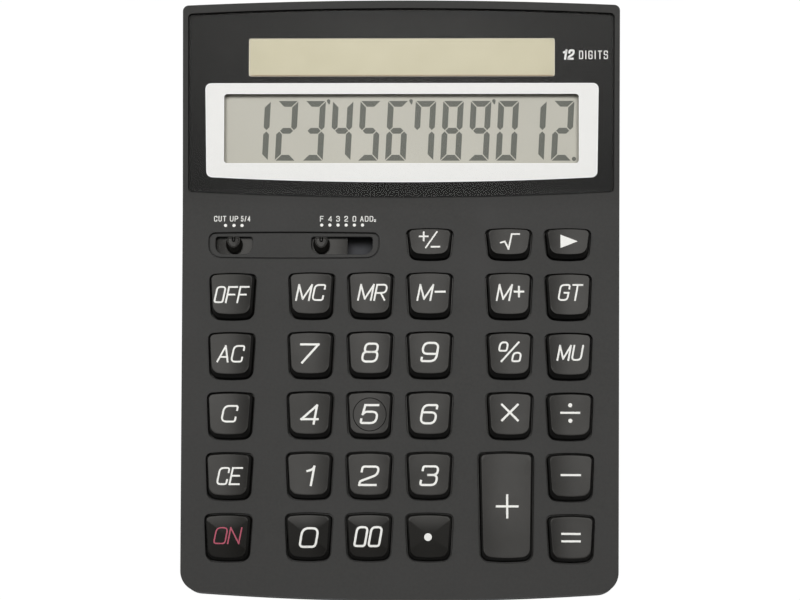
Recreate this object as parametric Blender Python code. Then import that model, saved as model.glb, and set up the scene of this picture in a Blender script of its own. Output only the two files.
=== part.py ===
"""Desktop solar calculator with a twelve digit display, built as it comes apart on a bench.

Units are metres and +Z is up. The origin is on the table, under the middle of the case. The
user sits at -Y, so the display is at +Y. Two planes carry everything: the deck, which holds the
keys and slopes gently, and the hood behind it, which holds the display and slopes more. They
meet at the crease, and each has an empty there whose local X, Y and Z run right, to the rear
and out of the plane.
"""

import math

import bmesh
import bpy
from mathutils import Vector

# Case, as a whole: margins round the keys and the display set its length and width
DECK_TILT = math.radians(4.5)
HOOD_TILT = math.radians(12.0)
FRONT_MARGIN = 0.00805  # outer keys to the side of the case, at its front edge
CREASE_MARGIN = 0.01035  # the same at the crease
REAR_FLARE = 0.0003  # how far each side still widens from the crease to the rear
KEYS_TO_FRONT = 0.0134
KEYS_TO_CREASE = 0.00965
FRONT_BOW = 0.0028  # middle of the front edge ahead of its ends
REAR_BOW = 0.0017
FRONT_CORNER = 0.0070
REAR_CORNER = 0.0020

# Fits
SEAT_GAP = 0.0003  # between a piece and what it rests on
OVERRUN = 0.0020  # how far a cutter runs past the face it opens

# Upper case
EDGE_ROUND = 0.0012
PARTING_HEIGHT = 0.0045  # table to the parting line, at the front edge
UPPER_WALL = 0.0020
UPPER_DRAFT = 0.0001
DECK_THICKNESS = 0.0022
BED_FLOOR = 0.0007  # plastic left under the solar cell
RAMP_LENGTH = 0.0060  # the inside slopes from one thickness to the other

# Lower case
FOOT_PROUD = 0.0012
FLOOR_THICKNESS = 0.0018
LOWER_STEP = 0.0003  # shadow line under the parting line
LOWER_TAPER = 0.0015
LOWER_ROUND = 0.0010
LIP_HEIGHT = 0.0015
LIP_THICKNESS = 0.0010

# Keys, and the gaps between their feet
KEY_WIDTH = 0.0157
KEY_TAPER = 0.0012  # how much narrower a key is at its front
KEY_LENGTH = 0.01475
SMALL_KEY_LENGTH = 0.00960
TALL_KEY_WIDENING = 0.0028  # all of it on the left
TALL_KEY_LENGTHENING = 0.0003  # over two keys and their gap
COLUMN_GAP = 0.0047
GROUP_GAP = 0.0117  # on each side of the digit columns
ROW_GAP = 0.00475
ROW_SAG = 0.00035  # the outer keys sit this much nearer the user
KEY_REAR_CORNER = 0.0012
KEY_FRONT_CORNER = 0.0024
KEY_REAR_BOW = 0.00055
KEY_FRONT_BOW = 0.00065
KEY_HEIGHT = 0.00380  # of the top face over the deck
KEY_CLEARANCE = 0.00035
KEY_SIDE_SLOPE = 0.00082  # how far the top face is drawn in at each side
KEY_REAR_SLOPE = 0.00062
KEY_FRONT_SLOPE = 0.00132
KEY_EDGE = 0.00040
KEY_DISH = 0.00030
KEY_ROLL = 0.0017  # how far the front of a thumb key's face drops
KEY_TRAVEL = 0.0025
FLANGE_REACH = 0.0012
FLANGE_THICKNESS = 0.0010

# Key mat and main board, below the deck
DOME_STOP = 0.0007  # height left in a dome at the end of a key's travel
DOME_BASE_RADIUS = 0.0046
DOME_TOP_RADIUS = 0.0025
MAT_THICKNESS = 0.0010
MAT_MARGIN = 0.0010
BOARD_THICKNESS = 0.0016
BOARD_MARGIN = 0.00165  # past the outer keys
BOARD_FRONT_INSET = 0.0102  # from the deck's front edge
BOARD_REAR_INSET = 0.0055  # from the crease
BOARD_ROOM = 0.0004  # between the board's front edge and the floor
BOARD_CORNER = 0.0020
STANDOFF_RADIUS = 0.0015
LEAN_ROOM = 0.0004  # a boss stands upright in a hole in a sloping sheet
TALL_DOME_SPREAD = 0.0090

# Slide switches: the rounding switch lines up with the left column of keys
SWITCH_SPACING = 0.0305  # between the knobs as they rest
ROUNDING_TRAVEL = 0.0029  # each way
DECIMAL_TRAVEL = 0.01425  # to the right only
SWITCH_SET_FORWARD = 0.0003  # of the small keys' row
STRIP_END = 0.0023  # past the slots
STRIP_SIDE = 0.0013
STRIP_DEPTH = 0.0005
STRIP_REAR_CORNER = 0.0014
STRIP_FRONT_CORNER = 0.0034
STRIP_BOW = 0.0003
SLOT_END_ROOM = 0.0010
SLOT_SIDE_ROOM = 0.0003
SLOT_REAR_CORNER = 0.0008
SLOT_FRONT_CORNER = 0.0022
KNOB_WIDTH = 0.0047
KNOB_LENGTH = 0.0042
KNOB_FLARE = 0.0002
KNOB_HEIGHT = 0.0012
KNOB_SET_BACK = 0.0005
KNOB_EDGE = 0.0003
KNOB_REAR_CORNER = 0.0008
KNOB_FRONT_CORNER = 0.0018
SLIDER_WIDTH = 0.0182
SLIDER_LENGTH = 0.0092
SLIDER_THICKNESS = 0.0010
SLIDER_CORNER = 0.0008
WIPER_THICKNESS = 0.0003
WIPER_WIDTH = 0.0024
WIPER_FLAT = 0.0060
WIPER_SPAN = 0.0120
WIPER_TOE = 0.0010

# Display hood: places up the hood, from the crease
SIDE_RIM = 0.00225  # case beside the window
REAR_RIM = 0.00306
PANEL_FRONT_Y = 0.00387
PANEL_FRONT_BOW = 0.0020
PANEL_REAR_BOW = 0.0019
PANEL_CORNER = 0.0010
PANEL_PLAY = 0.0002  # half of the dark line round the window
WINDOW_SINK = 0.0001
WINDOW_THICKNESS = 0.0015
LCD_X = 0.0002
LCD_SIDE = 0.0120  # window's side to the visible display
PANEL_TO_LCD = 0.00977
LCD_VIEW_LENGTH = 0.02424
LCD_VIEW_MARGIN = 0.0013
LCD_RIM = 0.0012  # how far the glass reaches past its opening
LCD_THICKNESS = 0.0022
LCD_CORNER = 0.0008
SOLAR_SIDE = 0.0196
SOLAR_X = 0.0002
SOLAR_LENGTH = 0.0154
LCD_TO_SOLAR = 0.0052
SOLAR_TO_PANEL = 0.0073
SOLAR_THICKNESS = 0.0011
SOLAR_CORNER = 0.0008
CONNECTOR_LENGTH = 0.0022
CONNECTOR_HEIGHT = 0.0025
CONNECTOR_INSET = 0.0030
DISPLAY_BOARD_MARGIN = 0.0050  # past the glass
DISPLAY_BOARD_FRONT_Y = 0.0050
DISPLAY_BOARD_TO_POST = 0.0030
DISPLAY_STANDOFF_INSET = 0.0042
RIBBON_WIDTH = 0.0300
RIBBON_THICKNESS = 0.0005
RIBBON_LAP = 0.0050
RIBBON_X = 0.0200
CHIP_RADIUS = 0.0065
CHIP_HEIGHT = 0.0022
CHIP_X = -0.0150
CHIP_Y = -0.0240

# Screws and their bosses
SCREW_HEAD_RADIUS = 0.0024
SCREW_HEAD_HEIGHT = 0.0013
SCREW_RADIUS = 0.0011
SCREW_BITE = 0.0050  # thread inside the upper boss
BOSS_RADIUS = 0.0022
POST_RADIUS = 0.0040
POST_LAND = 0.0014  # plastic between the screw head and the post's top
WELL_CLEARANCE = 0.0003
FRONT_POST_HEIGHT = 0.0032  # over the underside of the case
REAR_POST_HEIGHT = 0.0130
REAR_SCREW_X = 0.0480
REAR_SCREW_INSET = 0.0087

# Battery bay, in the lower case
CELL_RADIUS = 0.0058
CELL_HEIGHT = 0.0054
CELL_STEP = 0.0010
BAY_X = -0.0350
BAY_Y = 0.0600
BAY_WALL = 0.0014
COVER_WIDTH = 0.0220
COVER_LENGTH = 0.0180
COVER_THICKNESS = 0.0015
COVER_CORNER = 0.0020
COVER_PAD_MARGIN = 0.0030
CONTACT_THICKNESS = 0.0003
CONTACT_WIDTH = 0.0030
CONTACT_REACH = 0.0048

# Rubber feet
FOOT_RADIUS = 0.0050
FOOT_EDGE = 0.0005
FOOT_SINK = 0.0007
FOOT_SIDE_INSET = 0.0145
FOOT_END_INSET = 0.0148

# Shares along curves, and counts of steps
FRONT_BOW_SHARES = (0.35, 0.70)
REAR_BOW_SHARES = (0.70, 0.35)
CELL_STEP_SHARE = 0.8
CHIP_SHARES = ((1.0, 0.0), (0.92, 0.45), (0.7, 0.8), (0.35, 0.97))
ROLL_START_SHARE = 0.1
CORNER_STEPS = 4
REAR_CORNER_STEPS = 3
OUTLINE_FRONT_STEPS = 3
OUTLINE_REAR_STEPS = 2
ROUND_STEPS = 3
PANEL_BOW_POINTS = 7
BOSS_SIDES = 10
ROUND_SIDES = 20
DOME_SIDES = 8

# Across: key columns, then the widths of the case, the window and the display
KEY_FRONT_WIDTH = KEY_WIDTH - KEY_TAPER
KEY_PITCH = KEY_WIDTH + COLUMN_GAP
GROUP_PITCH = KEY_WIDTH + GROUP_GAP
NINE_COLUMN_X = KEY_PITCH / 2
MEMORY_COLUMN_X = NINE_COLUMN_X + GROUP_PITCH
OUTER_COLUMN_X = MEMORY_COLUMN_X + KEY_PITCH
COLUMNS = (
    -OUTER_COLUMN_X,
    NINE_COLUMN_X - 2 * KEY_PITCH,
    NINE_COLUMN_X - KEY_PITCH,
    NINE_COLUMN_X,
    MEMORY_COLUMN_X,
    OUTER_COLUMN_X,
)
TALL_KEY_WIDTH = KEY_WIDTH + TALL_KEY_WIDENING
TALL_KEY_FRONT_WIDTH = TALL_KEY_WIDTH - KEY_TAPER
TALL_KEY_X = MEMORY_COLUMN_X - TALL_KEY_WIDENING / 2
KEY_FIELD = OUTER_COLUMN_X + KEY_WIDTH / 2  # from the middle line to the outer keys' sides
FRONT_WIDTH = 2 * (KEY_FIELD + FRONT_MARGIN)
CREASE_WIDTH = 2 * (KEY_FIELD + CREASE_MARGIN)
REAR_WIDTH = CREASE_WIDTH + 2 * REAR_FLARE
BOARD_WIDTH = 2 * (KEY_FIELD + BOARD_MARGIN)
PANEL_FRONT_WIDTH = CREASE_WIDTH - 2 * SIDE_RIM
PANEL_REAR_WIDTH = REAR_WIDTH - 2 * SIDE_RIM
LCD_VIEW_WIDTH = PANEL_FRONT_WIDTH - 2 * LCD_SIDE
SOLAR_WIDTH = PANEL_REAR_WIDTH - 2 * SOLAR_SIDE
CONNECTOR_WIDTH = LCD_VIEW_WIDTH - 2 * CONNECTOR_INSET
LCD_GLASS_WIDTH = LCD_VIEW_WIDTH + 2 * (LCD_VIEW_MARGIN + LCD_RIM)
DISPLAY_BOARD_WIDTH = LCD_GLASS_WIDTH + 2 * DISPLAY_BOARD_MARGIN
DISPLAY_STANDOFF_X = (LCD_GLASS_WIDTH + DISPLAY_BOARD_WIDTH) / 4

# Along the deck, from the crease toward the user
KEY_BOWS = KEY_REAR_BOW + KEY_FRONT_BOW
ROW_PITCH = KEY_LENGTH + KEY_BOWS + ROW_GAP
TALL_KEY_LENGTH = KEY_LENGTH + ROW_PITCH + TALL_KEY_LENGTHENING
SMALL_ROW_Y = -KEYS_TO_CREASE - KEY_REAR_BOW - SMALL_KEY_LENGTH / 2
FIRST_ROW_Y = SMALL_ROW_Y - (SMALL_KEY_LENGTH + KEY_LENGTH) / 2 - KEY_BOWS - ROW_GAP
LAST_ROW_Y = FIRST_ROW_Y - 4 * ROW_PITCH
TALL_KEY_Y = (LAST_ROW_Y + FIRST_ROW_Y - 3 * ROW_PITCH) / 2
STANDOFF_Y = FIRST_ROW_Y - 1.5 * ROW_PITCH  # between the second and third rows
DECK_LENGTH = KEYS_TO_FRONT + KEY_LENGTH / 2 - LAST_ROW_Y
BOARD_FRONT_Y = BOARD_FRONT_INSET - DECK_LENGTH
BOARD_REAR_Y = -BOARD_REAR_INSET
STRIP_Y = SMALL_ROW_Y - SWITCH_SET_FORWARD
SLOT_LENGTH = KNOB_LENGTH + 2 * (KNOB_FLARE + KNOB_SET_BACK + SLOT_SIDE_ROOM)
STRIP_LENGTH = SLOT_LENGTH + 2 * STRIP_SIDE

# Along the hood, from the crease toward the rear
LCD_VIEW_FRONT_Y = PANEL_FRONT_Y + PANEL_TO_LCD
LCD_VIEW_REAR_Y = LCD_VIEW_FRONT_Y + LCD_VIEW_LENGTH
SOLAR_FRONT_Y = LCD_VIEW_REAR_Y + LCD_TO_SOLAR
SOLAR_REAR_Y = SOLAR_FRONT_Y + SOLAR_LENGTH
PANEL_REAR_Y = SOLAR_REAR_Y + SOLAR_TO_PANEL
HOOD_LENGTH = PANEL_REAR_Y + PANEL_REAR_BOW + REAR_RIM
REAR_SCREW_Y = HOOD_LENGTH - REAR_SCREW_INSET
DISPLAY_BOARD_REAR_Y = REAR_SCREW_Y - POST_RADIUS - DISPLAY_BOARD_TO_POST

# Down through the deck and the hood
DOME_HEIGHT = KEY_TRAVEL + DOME_STOP
FLANGE_TOP = -DECK_THICKNESS - SEAT_GAP
KEY_BOTTOM = FLANGE_TOP - FLANGE_THICKNESS
MAT_TOP = KEY_BOTTOM - SEAT_GAP - DOME_HEIGHT
MAT_BOTTOM = MAT_TOP - MAT_THICKNESS
BOARD_TOP = MAT_BOTTOM - SEAT_GAP
BOARD_BOTTOM = BOARD_TOP - BOARD_THICKNESS
POCKET_FLOOR = -WINDOW_SINK - WINDOW_THICKNESS - SEAT_GAP
SOLAR_TOP = POCKET_FLOOR
BED_BOTTOM = SOLAR_TOP - SOLAR_THICKNESS - SEAT_GAP
HOOD_THICKNESS = BED_FLOOR - BED_BOTTOM
LCD_TOP = -HOOD_THICKNESS - SEAT_GAP
CONNECTOR_TOP = LCD_TOP - LCD_THICKNESS - SEAT_GAP
DISPLAY_BOARD_TOP = CONNECTOR_TOP - CONNECTOR_HEIGHT - SEAT_GAP

# The case in the part's own frame
BASE_Z = FOOT_PROUD
FLOOR_Z = BASE_Z + FLOOR_THICKNESS
BOARD_SLOPE_DROP = BOARD_BOTTOM * math.cos(DECK_TILT) + BOARD_FRONT_INSET * math.sin(DECK_TILT)
FRONT_HEIGHT = FLOOR_Z + BOARD_ROOM - BOARD_SLOPE_DROP  # table to the deck's front edge
PARTING_DEPTH = FRONT_HEIGHT - PARTING_HEIGHT  # top edge to the parting line, all the way round
CASE_LENGTH = DECK_LENGTH * math.cos(DECK_TILT) + HOOD_LENGTH * math.cos(HOOD_TILT)
FRONT_Y = -CASE_LENGTH / 2
REAR_Y = CASE_LENGTH / 2
CREASE_Y = FRONT_Y + DECK_LENGTH * math.cos(DECK_TILT)
CREASE_Z = FRONT_HEIGHT + DECK_LENGTH * math.sin(DECK_TILT)
RAMP_Y = CREASE_Y - RAMP_LENGTH

# Names and their places
SMALL_KEYS = {"key_sign": 3, "key_root": 4, "key_back": 5}
KEY_ROWS = (
    ("key_off", "key_mc", "key_mr", "key_m_minus", "key_m_plus", "key_gt"),
    ("key_ac", "key_7", "key_8", "key_9", "key_percent", "key_mu"),
    ("key_c", "key_4", "key_5", "key_6", "key_times", "key_divide"),
    ("key_ce", "key_1", "key_2", "key_3", None, "key_minus"),
    ("key_on", "key_0", "key_00", "key_point", None, "key_equals"),
)
THUMB_KEYS = ("key_on", "key_0", "key_00", "key_point")
ROUNDING_KNOB_X = -OUTER_COLUMN_X
DECIMAL_KNOB_X = ROUNDING_KNOB_X + SWITCH_SPACING
BETWEEN_LEFT_KEYS_X = (COLUMNS[0] + COLUMNS[1]) / 2
BETWEEN_RIGHT_KEYS_X = (NINE_COLUMN_X + MEMORY_COLUMN_X) / 2
BESIDE_TALL_KEY_X = (NINE_COLUMN_X + KEY_WIDTH / 2 + TALL_KEY_X - TALL_KEY_WIDTH / 2) / 2
CASE_SCREWS = {
    "front_left": (BETWEEN_LEFT_KEYS_X, TALL_KEY_Y),
    "front_right": (BESIDE_TALL_KEY_X, TALL_KEY_Y),
    "rear_left": (-REAR_SCREW_X, REAR_SCREW_Y),
    "rear_right": (REAR_SCREW_X, REAR_SCREW_Y),
}


# Scene helpers

def clear_scene():
    for thing in list(bpy.data.objects):
        bpy.data.objects.remove(thing, do_unlink=True)


def material(name, colour, roughness, metallic=0.0, alpha=1.0):
    made = bpy.data.materials.new(name)
    made.use_nodes = True
    shader = made.node_tree.nodes["Principled BSDF"]
    shader.inputs["Base Color"].default_value = (*colour, 1.0)
    shader.inputs["Roughness"].default_value = roughness
    shader.inputs["Metallic"].default_value = metallic
    shader.inputs["Alpha"].default_value = alpha
    made.diffuse_color = (*colour, alpha)
    return made


def frame_empty(name, tilt):
    """An empty at the crease, tilted about X, that carries what lies in one plane of the case."""
    empty = bpy.data.objects.new(name, None)
    empty.location = (0, CREASE_Y, CREASE_Z)
    empty.rotation_euler = (tilt, 0, 0)
    bpy.context.collection.objects.link(empty)
    return empty


def add_object(name, mesh, finish=None, parent=None, location=(0, 0, 0)):
    thing = bpy.data.objects.new(name, mesh)
    bpy.context.collection.objects.link(thing)
    thing.parent = parent
    thing.location = location
    if finish:
        mesh.materials.append(finish)
    mesh.shade_smooth()
    mesh.set_sharp_from_angle(angle=math.radians(35))
    return thing


def add_cutter(name, mesh, parent=None):
    cutter = add_object(name, mesh, parent=parent)
    cutter.hide_render = True
    cutter.display_type = "WIRE"
    return cutter


def apply_boolean(thing, cutter, operation):
    change = thing.modifiers.new(f"{operation.lower()} {cutter.name}", "BOOLEAN")
    change.operation = operation
    change.object = cutter
    change.solver = "EXACT"


# Mesh helpers: every shape is a stack of rings with the same number of points

def skin(rings, start="flat", end="flat"):
    """A closed mesh through a stack of rings. An end is flat, a ladder of planar strips across
    a ring that is its own mirror image, or a fan to the given middle point."""
    shell = bmesh.new()
    loops = [[shell.verts.new(point) for point in ring] for ring in rings]
    count = len(loops[0])
    for lower, upper in zip(loops, loops[1:]):
        for i in range(count):
            j = (i + 1) % count
            shell.faces.new((lower[i], lower[j], upper[j], upper[i]))
    for loop, style in ((loops[0], start), (loops[-1], end)):
        if style == "flat":
            shell.faces.new(loop)
        elif style == "ladder":
            fill_ladder(shell, loop)
        else:
            middle = shell.verts.new(style)
            for i in range(count):
                shell.faces.new((loop[i], loop[(i + 1) % count], middle))
    bmesh.ops.recalc_face_normals(shell, faces=shell.faces)
    mesh = bpy.data.meshes.new("skin")
    shell.to_mesh(mesh)
    shell.free()
    return mesh


def fill_ladder(shell, loop):
    """Strips from each point to its mirror image, so that a face may fold along X."""
    count = len(loop)
    half = count // 2
    shell.faces.new((loop[0], loop[1], loop[count - 1]))
    for i in range(1, half - 1):
        shell.faces.new((loop[i], loop[i + 1], loop[count - i - 1], loop[count - i]))
    shell.faces.new((loop[half - 1], loop[half], loop[half + 1]))


def level(outline, z):
    return [Vector((x, y, z)) for x, y in outline]


def prism(outline, bottom, top):
    return skin([level(outline, bottom), level(outline, top)])


def joined(meshes):
    """Several closed meshes as one, for a cutter or a union of shapes that don't meet."""
    whole = bmesh.new()
    for mesh in meshes:
        whole.from_mesh(mesh)
    out = bpy.data.meshes.new("joined")
    whole.to_mesh(out)
    whole.free()
    return out


def arc(centre, radius, start, stop, steps):
    """Points on a circle from one angle to another, in degrees, both ends included."""
    points = []
    for i in range(steps + 1):
        angle = math.radians(start + (stop - start) * i / steps)
        points.append((centre[0] + radius * math.cos(angle), centre[1] + radius * math.sin(angle)))
    return points


def circle(centre, radius, sides):
    return arc(centre, radius, 0, 360 - 360 / sides, sides - 1)


def turned(profile, sides, centre=(0, 0)):
    """A round solid from (radius, height) pairs, bottom to top."""
    return skin([level(circle(centre, radius, sides), z) for radius, z in profile])


def bowed_outline(rear_width, front_width, length, rear_corner, front_corner, rear_bow=0.0,
                  front_bow=0.0, centre=(0, 0), bow_points=1):
    """A rounded four sided outline, anticlockwise from the middle of its front.

    It may be narrower in front. Its front and rear bulge by their bows beyond the length, which
    is taken between their ends.
    """
    front_half = front_width / 2
    rear_half = rear_width / 2
    half_length = length / 2
    bow_step = 1 / (bow_points // 2 + 1)
    front_run = [(front_half - front_corner) * i * bow_step for i in range(bow_points // 2 + 1)]
    rear_run = [(rear_half - rear_corner) * i * bow_step for i in range(bow_points // 2 + 1)]
    right = [(x, -half_length) for x in front_run]
    front_centre = (front_half - front_corner, front_corner - half_length)
    rear_centre = (rear_half - rear_corner, half_length - rear_corner)
    right += arc(front_centre, front_corner, -90, 0, OUTLINE_FRONT_STEPS)
    right += arc(rear_centre, rear_corner, 0, 90, OUTLINE_REAR_STEPS)
    right += [(x, half_length) for x in reversed(rear_run)]
    points = []
    for x, y in right:
        along = x / (rear_half if y > 0 else front_half)
        bulge = rear_bow if y > 0 else -front_bow
        y += bulge * (1 - along**2) * abs(y) / half_length
        points.append((x, y))
    points += [(-x, y) for x, y in reversed(points[1:-1])]
    return [(centre[0] + x, centre[1] + y) for x, y in points]


def rounded_box(width, length, corner, centre=(0, 0)):
    return bowed_outline(width, width, length, corner, corner, centre=centre)


def bent_strip(path, thickness):
    """The outline of a strip of sheet that follows a path of (along, height) points."""
    left = []
    right = []
    for i, (a, h) in enumerate(path):
        before = Vector(path[max(i - 1, 0)])
        after = Vector(path[min(i + 1, len(path) - 1)])
        run = (after - before).normalized()
        side = Vector((-run.y, run.x)) * (thickness / 2)
        left.append((a + side.x, h + side.y))
        right.append((a - side.x, h - side.y))
    return right + list(reversed(left))


def strip_along_y(path, thickness, width, centre_y):
    """A strip bent in X and Z, and as wide as given along Y."""
    outline = bent_strip(path, thickness)
    near = [Vector((x, centre_y - width / 2, z)) for x, z in outline]
    far = [Vector((x, centre_y + width / 2, z)) for x, z in outline]
    return skin([near, far])


def strip_along_x(path, thickness, width, centre_x):
    """A strip bent in Y and Z, and as wide as given along X."""
    outline = bent_strip(path, thickness)
    near = [Vector((centre_x - width / 2, y, z)) for y, z in outline]
    far = [Vector((centre_x + width / 2, y, z)) for y, z in outline]
    return skin([near, far])


# The case's own surfaces

def top_height(y):
    """Height of the deck and the hood over the table, on a line across the case."""
    tilt = DECK_TILT if y < CREASE_Y else HOOD_TILT
    return CREASE_Z + (y - CREASE_Y) * math.tan(tilt)


def inner_height(y):
    """Height of the inside of the deck and the hood, with the ramp between them."""
    deck = DECK_THICKNESS / math.cos(DECK_TILT)
    hood = HOOD_THICKNESS / math.cos(HOOD_TILT)
    share = min(max((y - RAMP_Y) / RAMP_LENGTH, 0), 1)
    return top_height(y) - deck - (hood - deck) * share


def parting_height(y):
    return top_height(y) - PARTING_DEPTH


def half_width(y):
    """Half of the case's width at y. Both planes taper evenly."""
    if y < CREASE_Y:
        share = (y - FRONT_Y) / (CREASE_Y - FRONT_Y)
        return (FRONT_WIDTH + (CREASE_WIDTH - FRONT_WIDTH) * share) / 2
    share = (y - CREASE_Y) / (REAR_Y - CREASE_Y)
    return (CREASE_WIDTH + (REAR_WIDTH - CREASE_WIDTH) * share) / 2


def half_plan(inset):
    """The right half of the case's plan, front middle to rear middle, drawn in all round."""
    front_corner = FRONT_CORNER - inset
    rear_corner = max(REAR_CORNER - inset, REAR_CORNER / 4)
    front_x = FRONT_WIDTH / 2 - inset - front_corner
    rear_x = REAR_WIDTH / 2 - inset - rear_corner
    front_bow = FRONT_BOW * (front_x / (FRONT_WIDTH / 2)) ** 2
    rear_bow = REAR_BOW * (rear_x / (REAR_WIDTH / 2)) ** 2
    front_y = FRONT_Y + inset + front_bow + front_corner
    rear_y = REAR_Y - inset - rear_bow - rear_corner
    front_x = half_width(front_y) - inset - front_corner
    rear_x = half_width(rear_y) - inset - rear_corner
    front_slope = math.degrees(math.atan2(2 * front_bow, front_x))
    rear_slope = math.degrees(math.atan2(2 * rear_bow, rear_x))
    points = [(0, FRONT_Y + inset)]
    for share in FRONT_BOW_SHARES:
        points.append((front_x * share, FRONT_Y + inset + front_bow * share**2))
    points += arc((front_x, front_y), front_corner, front_slope - 90, 0, CORNER_STEPS)
    points += [(half_width(y) - inset, y) for y in (RAMP_Y, CREASE_Y)]
    points += arc((rear_x, rear_y), rear_corner, 0, 90 - rear_slope, REAR_CORNER_STEPS)
    for share in REAR_BOW_SHARES:
        points.append((rear_x * share, REAR_Y - inset - rear_bow * share**2))
    return points + [(0, REAR_Y - inset)]


def case_ring(inset, height, shift=0.0):
    """The whole plan as a ring that follows a height rule."""
    right = half_plan(inset)
    whole = right + [(-x, y) for x, y in reversed(right[1:-1])]
    return [Vector((x, y, height(y) + shift)) for x, y in whole]


def deck_to_world(x, y, z):
    """A place given on the deck, in the part's own frame."""
    return Vector((
        x,
        CREASE_Y + y * math.cos(DECK_TILT) - z * math.sin(DECK_TILT),
        CREASE_Z + y * math.sin(DECK_TILT) + z * math.cos(DECK_TILT),
    ))


def hood_to_world(x, y, z):
    """A place given on the hood, in the part's own frame."""
    return Vector((
        x,
        CREASE_Y + y * math.cos(HOOD_TILT) - z * math.sin(HOOD_TILT),
        CREASE_Z + y * math.sin(HOOD_TILT) + z * math.cos(HOOD_TILT),
    ))


# Outlines that more than one piece shares

def key_outline(kind, grow=0.0):
    """The foot of a keycap of one kind, or its hole when grown by the clearance."""
    width, front, length = {
        "square": (KEY_WIDTH, KEY_FRONT_WIDTH, KEY_LENGTH),
        "small": (KEY_WIDTH, KEY_FRONT_WIDTH, SMALL_KEY_LENGTH),
        "tall": (TALL_KEY_WIDTH, TALL_KEY_FRONT_WIDTH, TALL_KEY_LENGTH),
    }[kind]
    return bowed_outline(
        width + 2 * grow,
        front + 2 * grow,
        length + 2 * grow,
        KEY_REAR_CORNER + grow,
        KEY_FRONT_CORNER + grow,
        KEY_REAR_BOW,
        KEY_FRONT_BOW,
    )


def face_outline(kind, grow=0.0):
    """The top face of a keycap: its foot drawn in by the slopes of its walls."""
    shrink_x = 2 * (KEY_SIDE_SLOPE - grow)
    shrink_y = KEY_REAR_SLOPE + KEY_FRONT_SLOPE - 2 * grow
    width, front, length = {
        "square": (KEY_WIDTH, KEY_FRONT_WIDTH, KEY_LENGTH),
        "small": (KEY_WIDTH, KEY_FRONT_WIDTH, SMALL_KEY_LENGTH),
        "tall": (TALL_KEY_WIDTH, TALL_KEY_FRONT_WIDTH, TALL_KEY_LENGTH),
    }[kind]
    return bowed_outline(
        width - shrink_x,
        front - shrink_x,
        length - shrink_y,
        KEY_REAR_CORNER + grow,
        KEY_FRONT_CORNER + grow,
        KEY_REAR_BOW,
        KEY_FRONT_BOW,
        centre=(0, (KEY_FRONT_SLOPE - KEY_REAR_SLOPE) / 2),
    )


def moved(outline, x, y):
    return [(px + x, py + y) for px, py in outline]


def panel_outline(grow):
    """The display window's outline, or the pocket's when grown."""
    return bowed_outline(
        PANEL_REAR_WIDTH + 2 * grow,
        PANEL_FRONT_WIDTH + 2 * grow,
        PANEL_REAR_Y - PANEL_FRONT_Y + 2 * grow,
        PANEL_CORNER + grow,
        PANEL_CORNER + grow,
        PANEL_REAR_BOW,
        PANEL_FRONT_BOW,
        centre=(0, (PANEL_REAR_Y + PANEL_FRONT_Y) / 2),
        bow_points=PANEL_BOW_POINTS,
    )


def slot_ends(knob_x, left_travel, right_travel):
    """The two ends of the slot that a knob runs in."""
    reach = KNOB_WIDTH / 2 + KNOB_FLARE + SLOT_END_ROOM
    return knob_x - left_travel - reach, knob_x + right_travel + reach


def slot_outline(left, right):
    return bowed_outline(
        right - left,
        right - left,
        SLOT_LENGTH,
        SLOT_REAR_CORNER,
        SLOT_FRONT_CORNER,
        centre=((left + right) / 2, STRIP_Y),
    )


def key_places():
    """Each key's name with its kind and its place on the deck."""
    places = {}
    for name, column in SMALL_KEYS.items():
        places[name] = ("small", COLUMNS[column], SMALL_ROW_Y)
    for row, names in enumerate(KEY_ROWS):
        for column, name in enumerate(names):
            if name:
                x = COLUMNS[column]
                sag = ROW_SAG * (x / OUTER_COLUMN_X) ** 2
                places[name] = ("square", x, FIRST_ROW_Y - row * ROW_PITCH - sag)
    places["key_plus"] = ("tall", TALL_KEY_X, TALL_KEY_Y)
    return places


# Pieces

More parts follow.
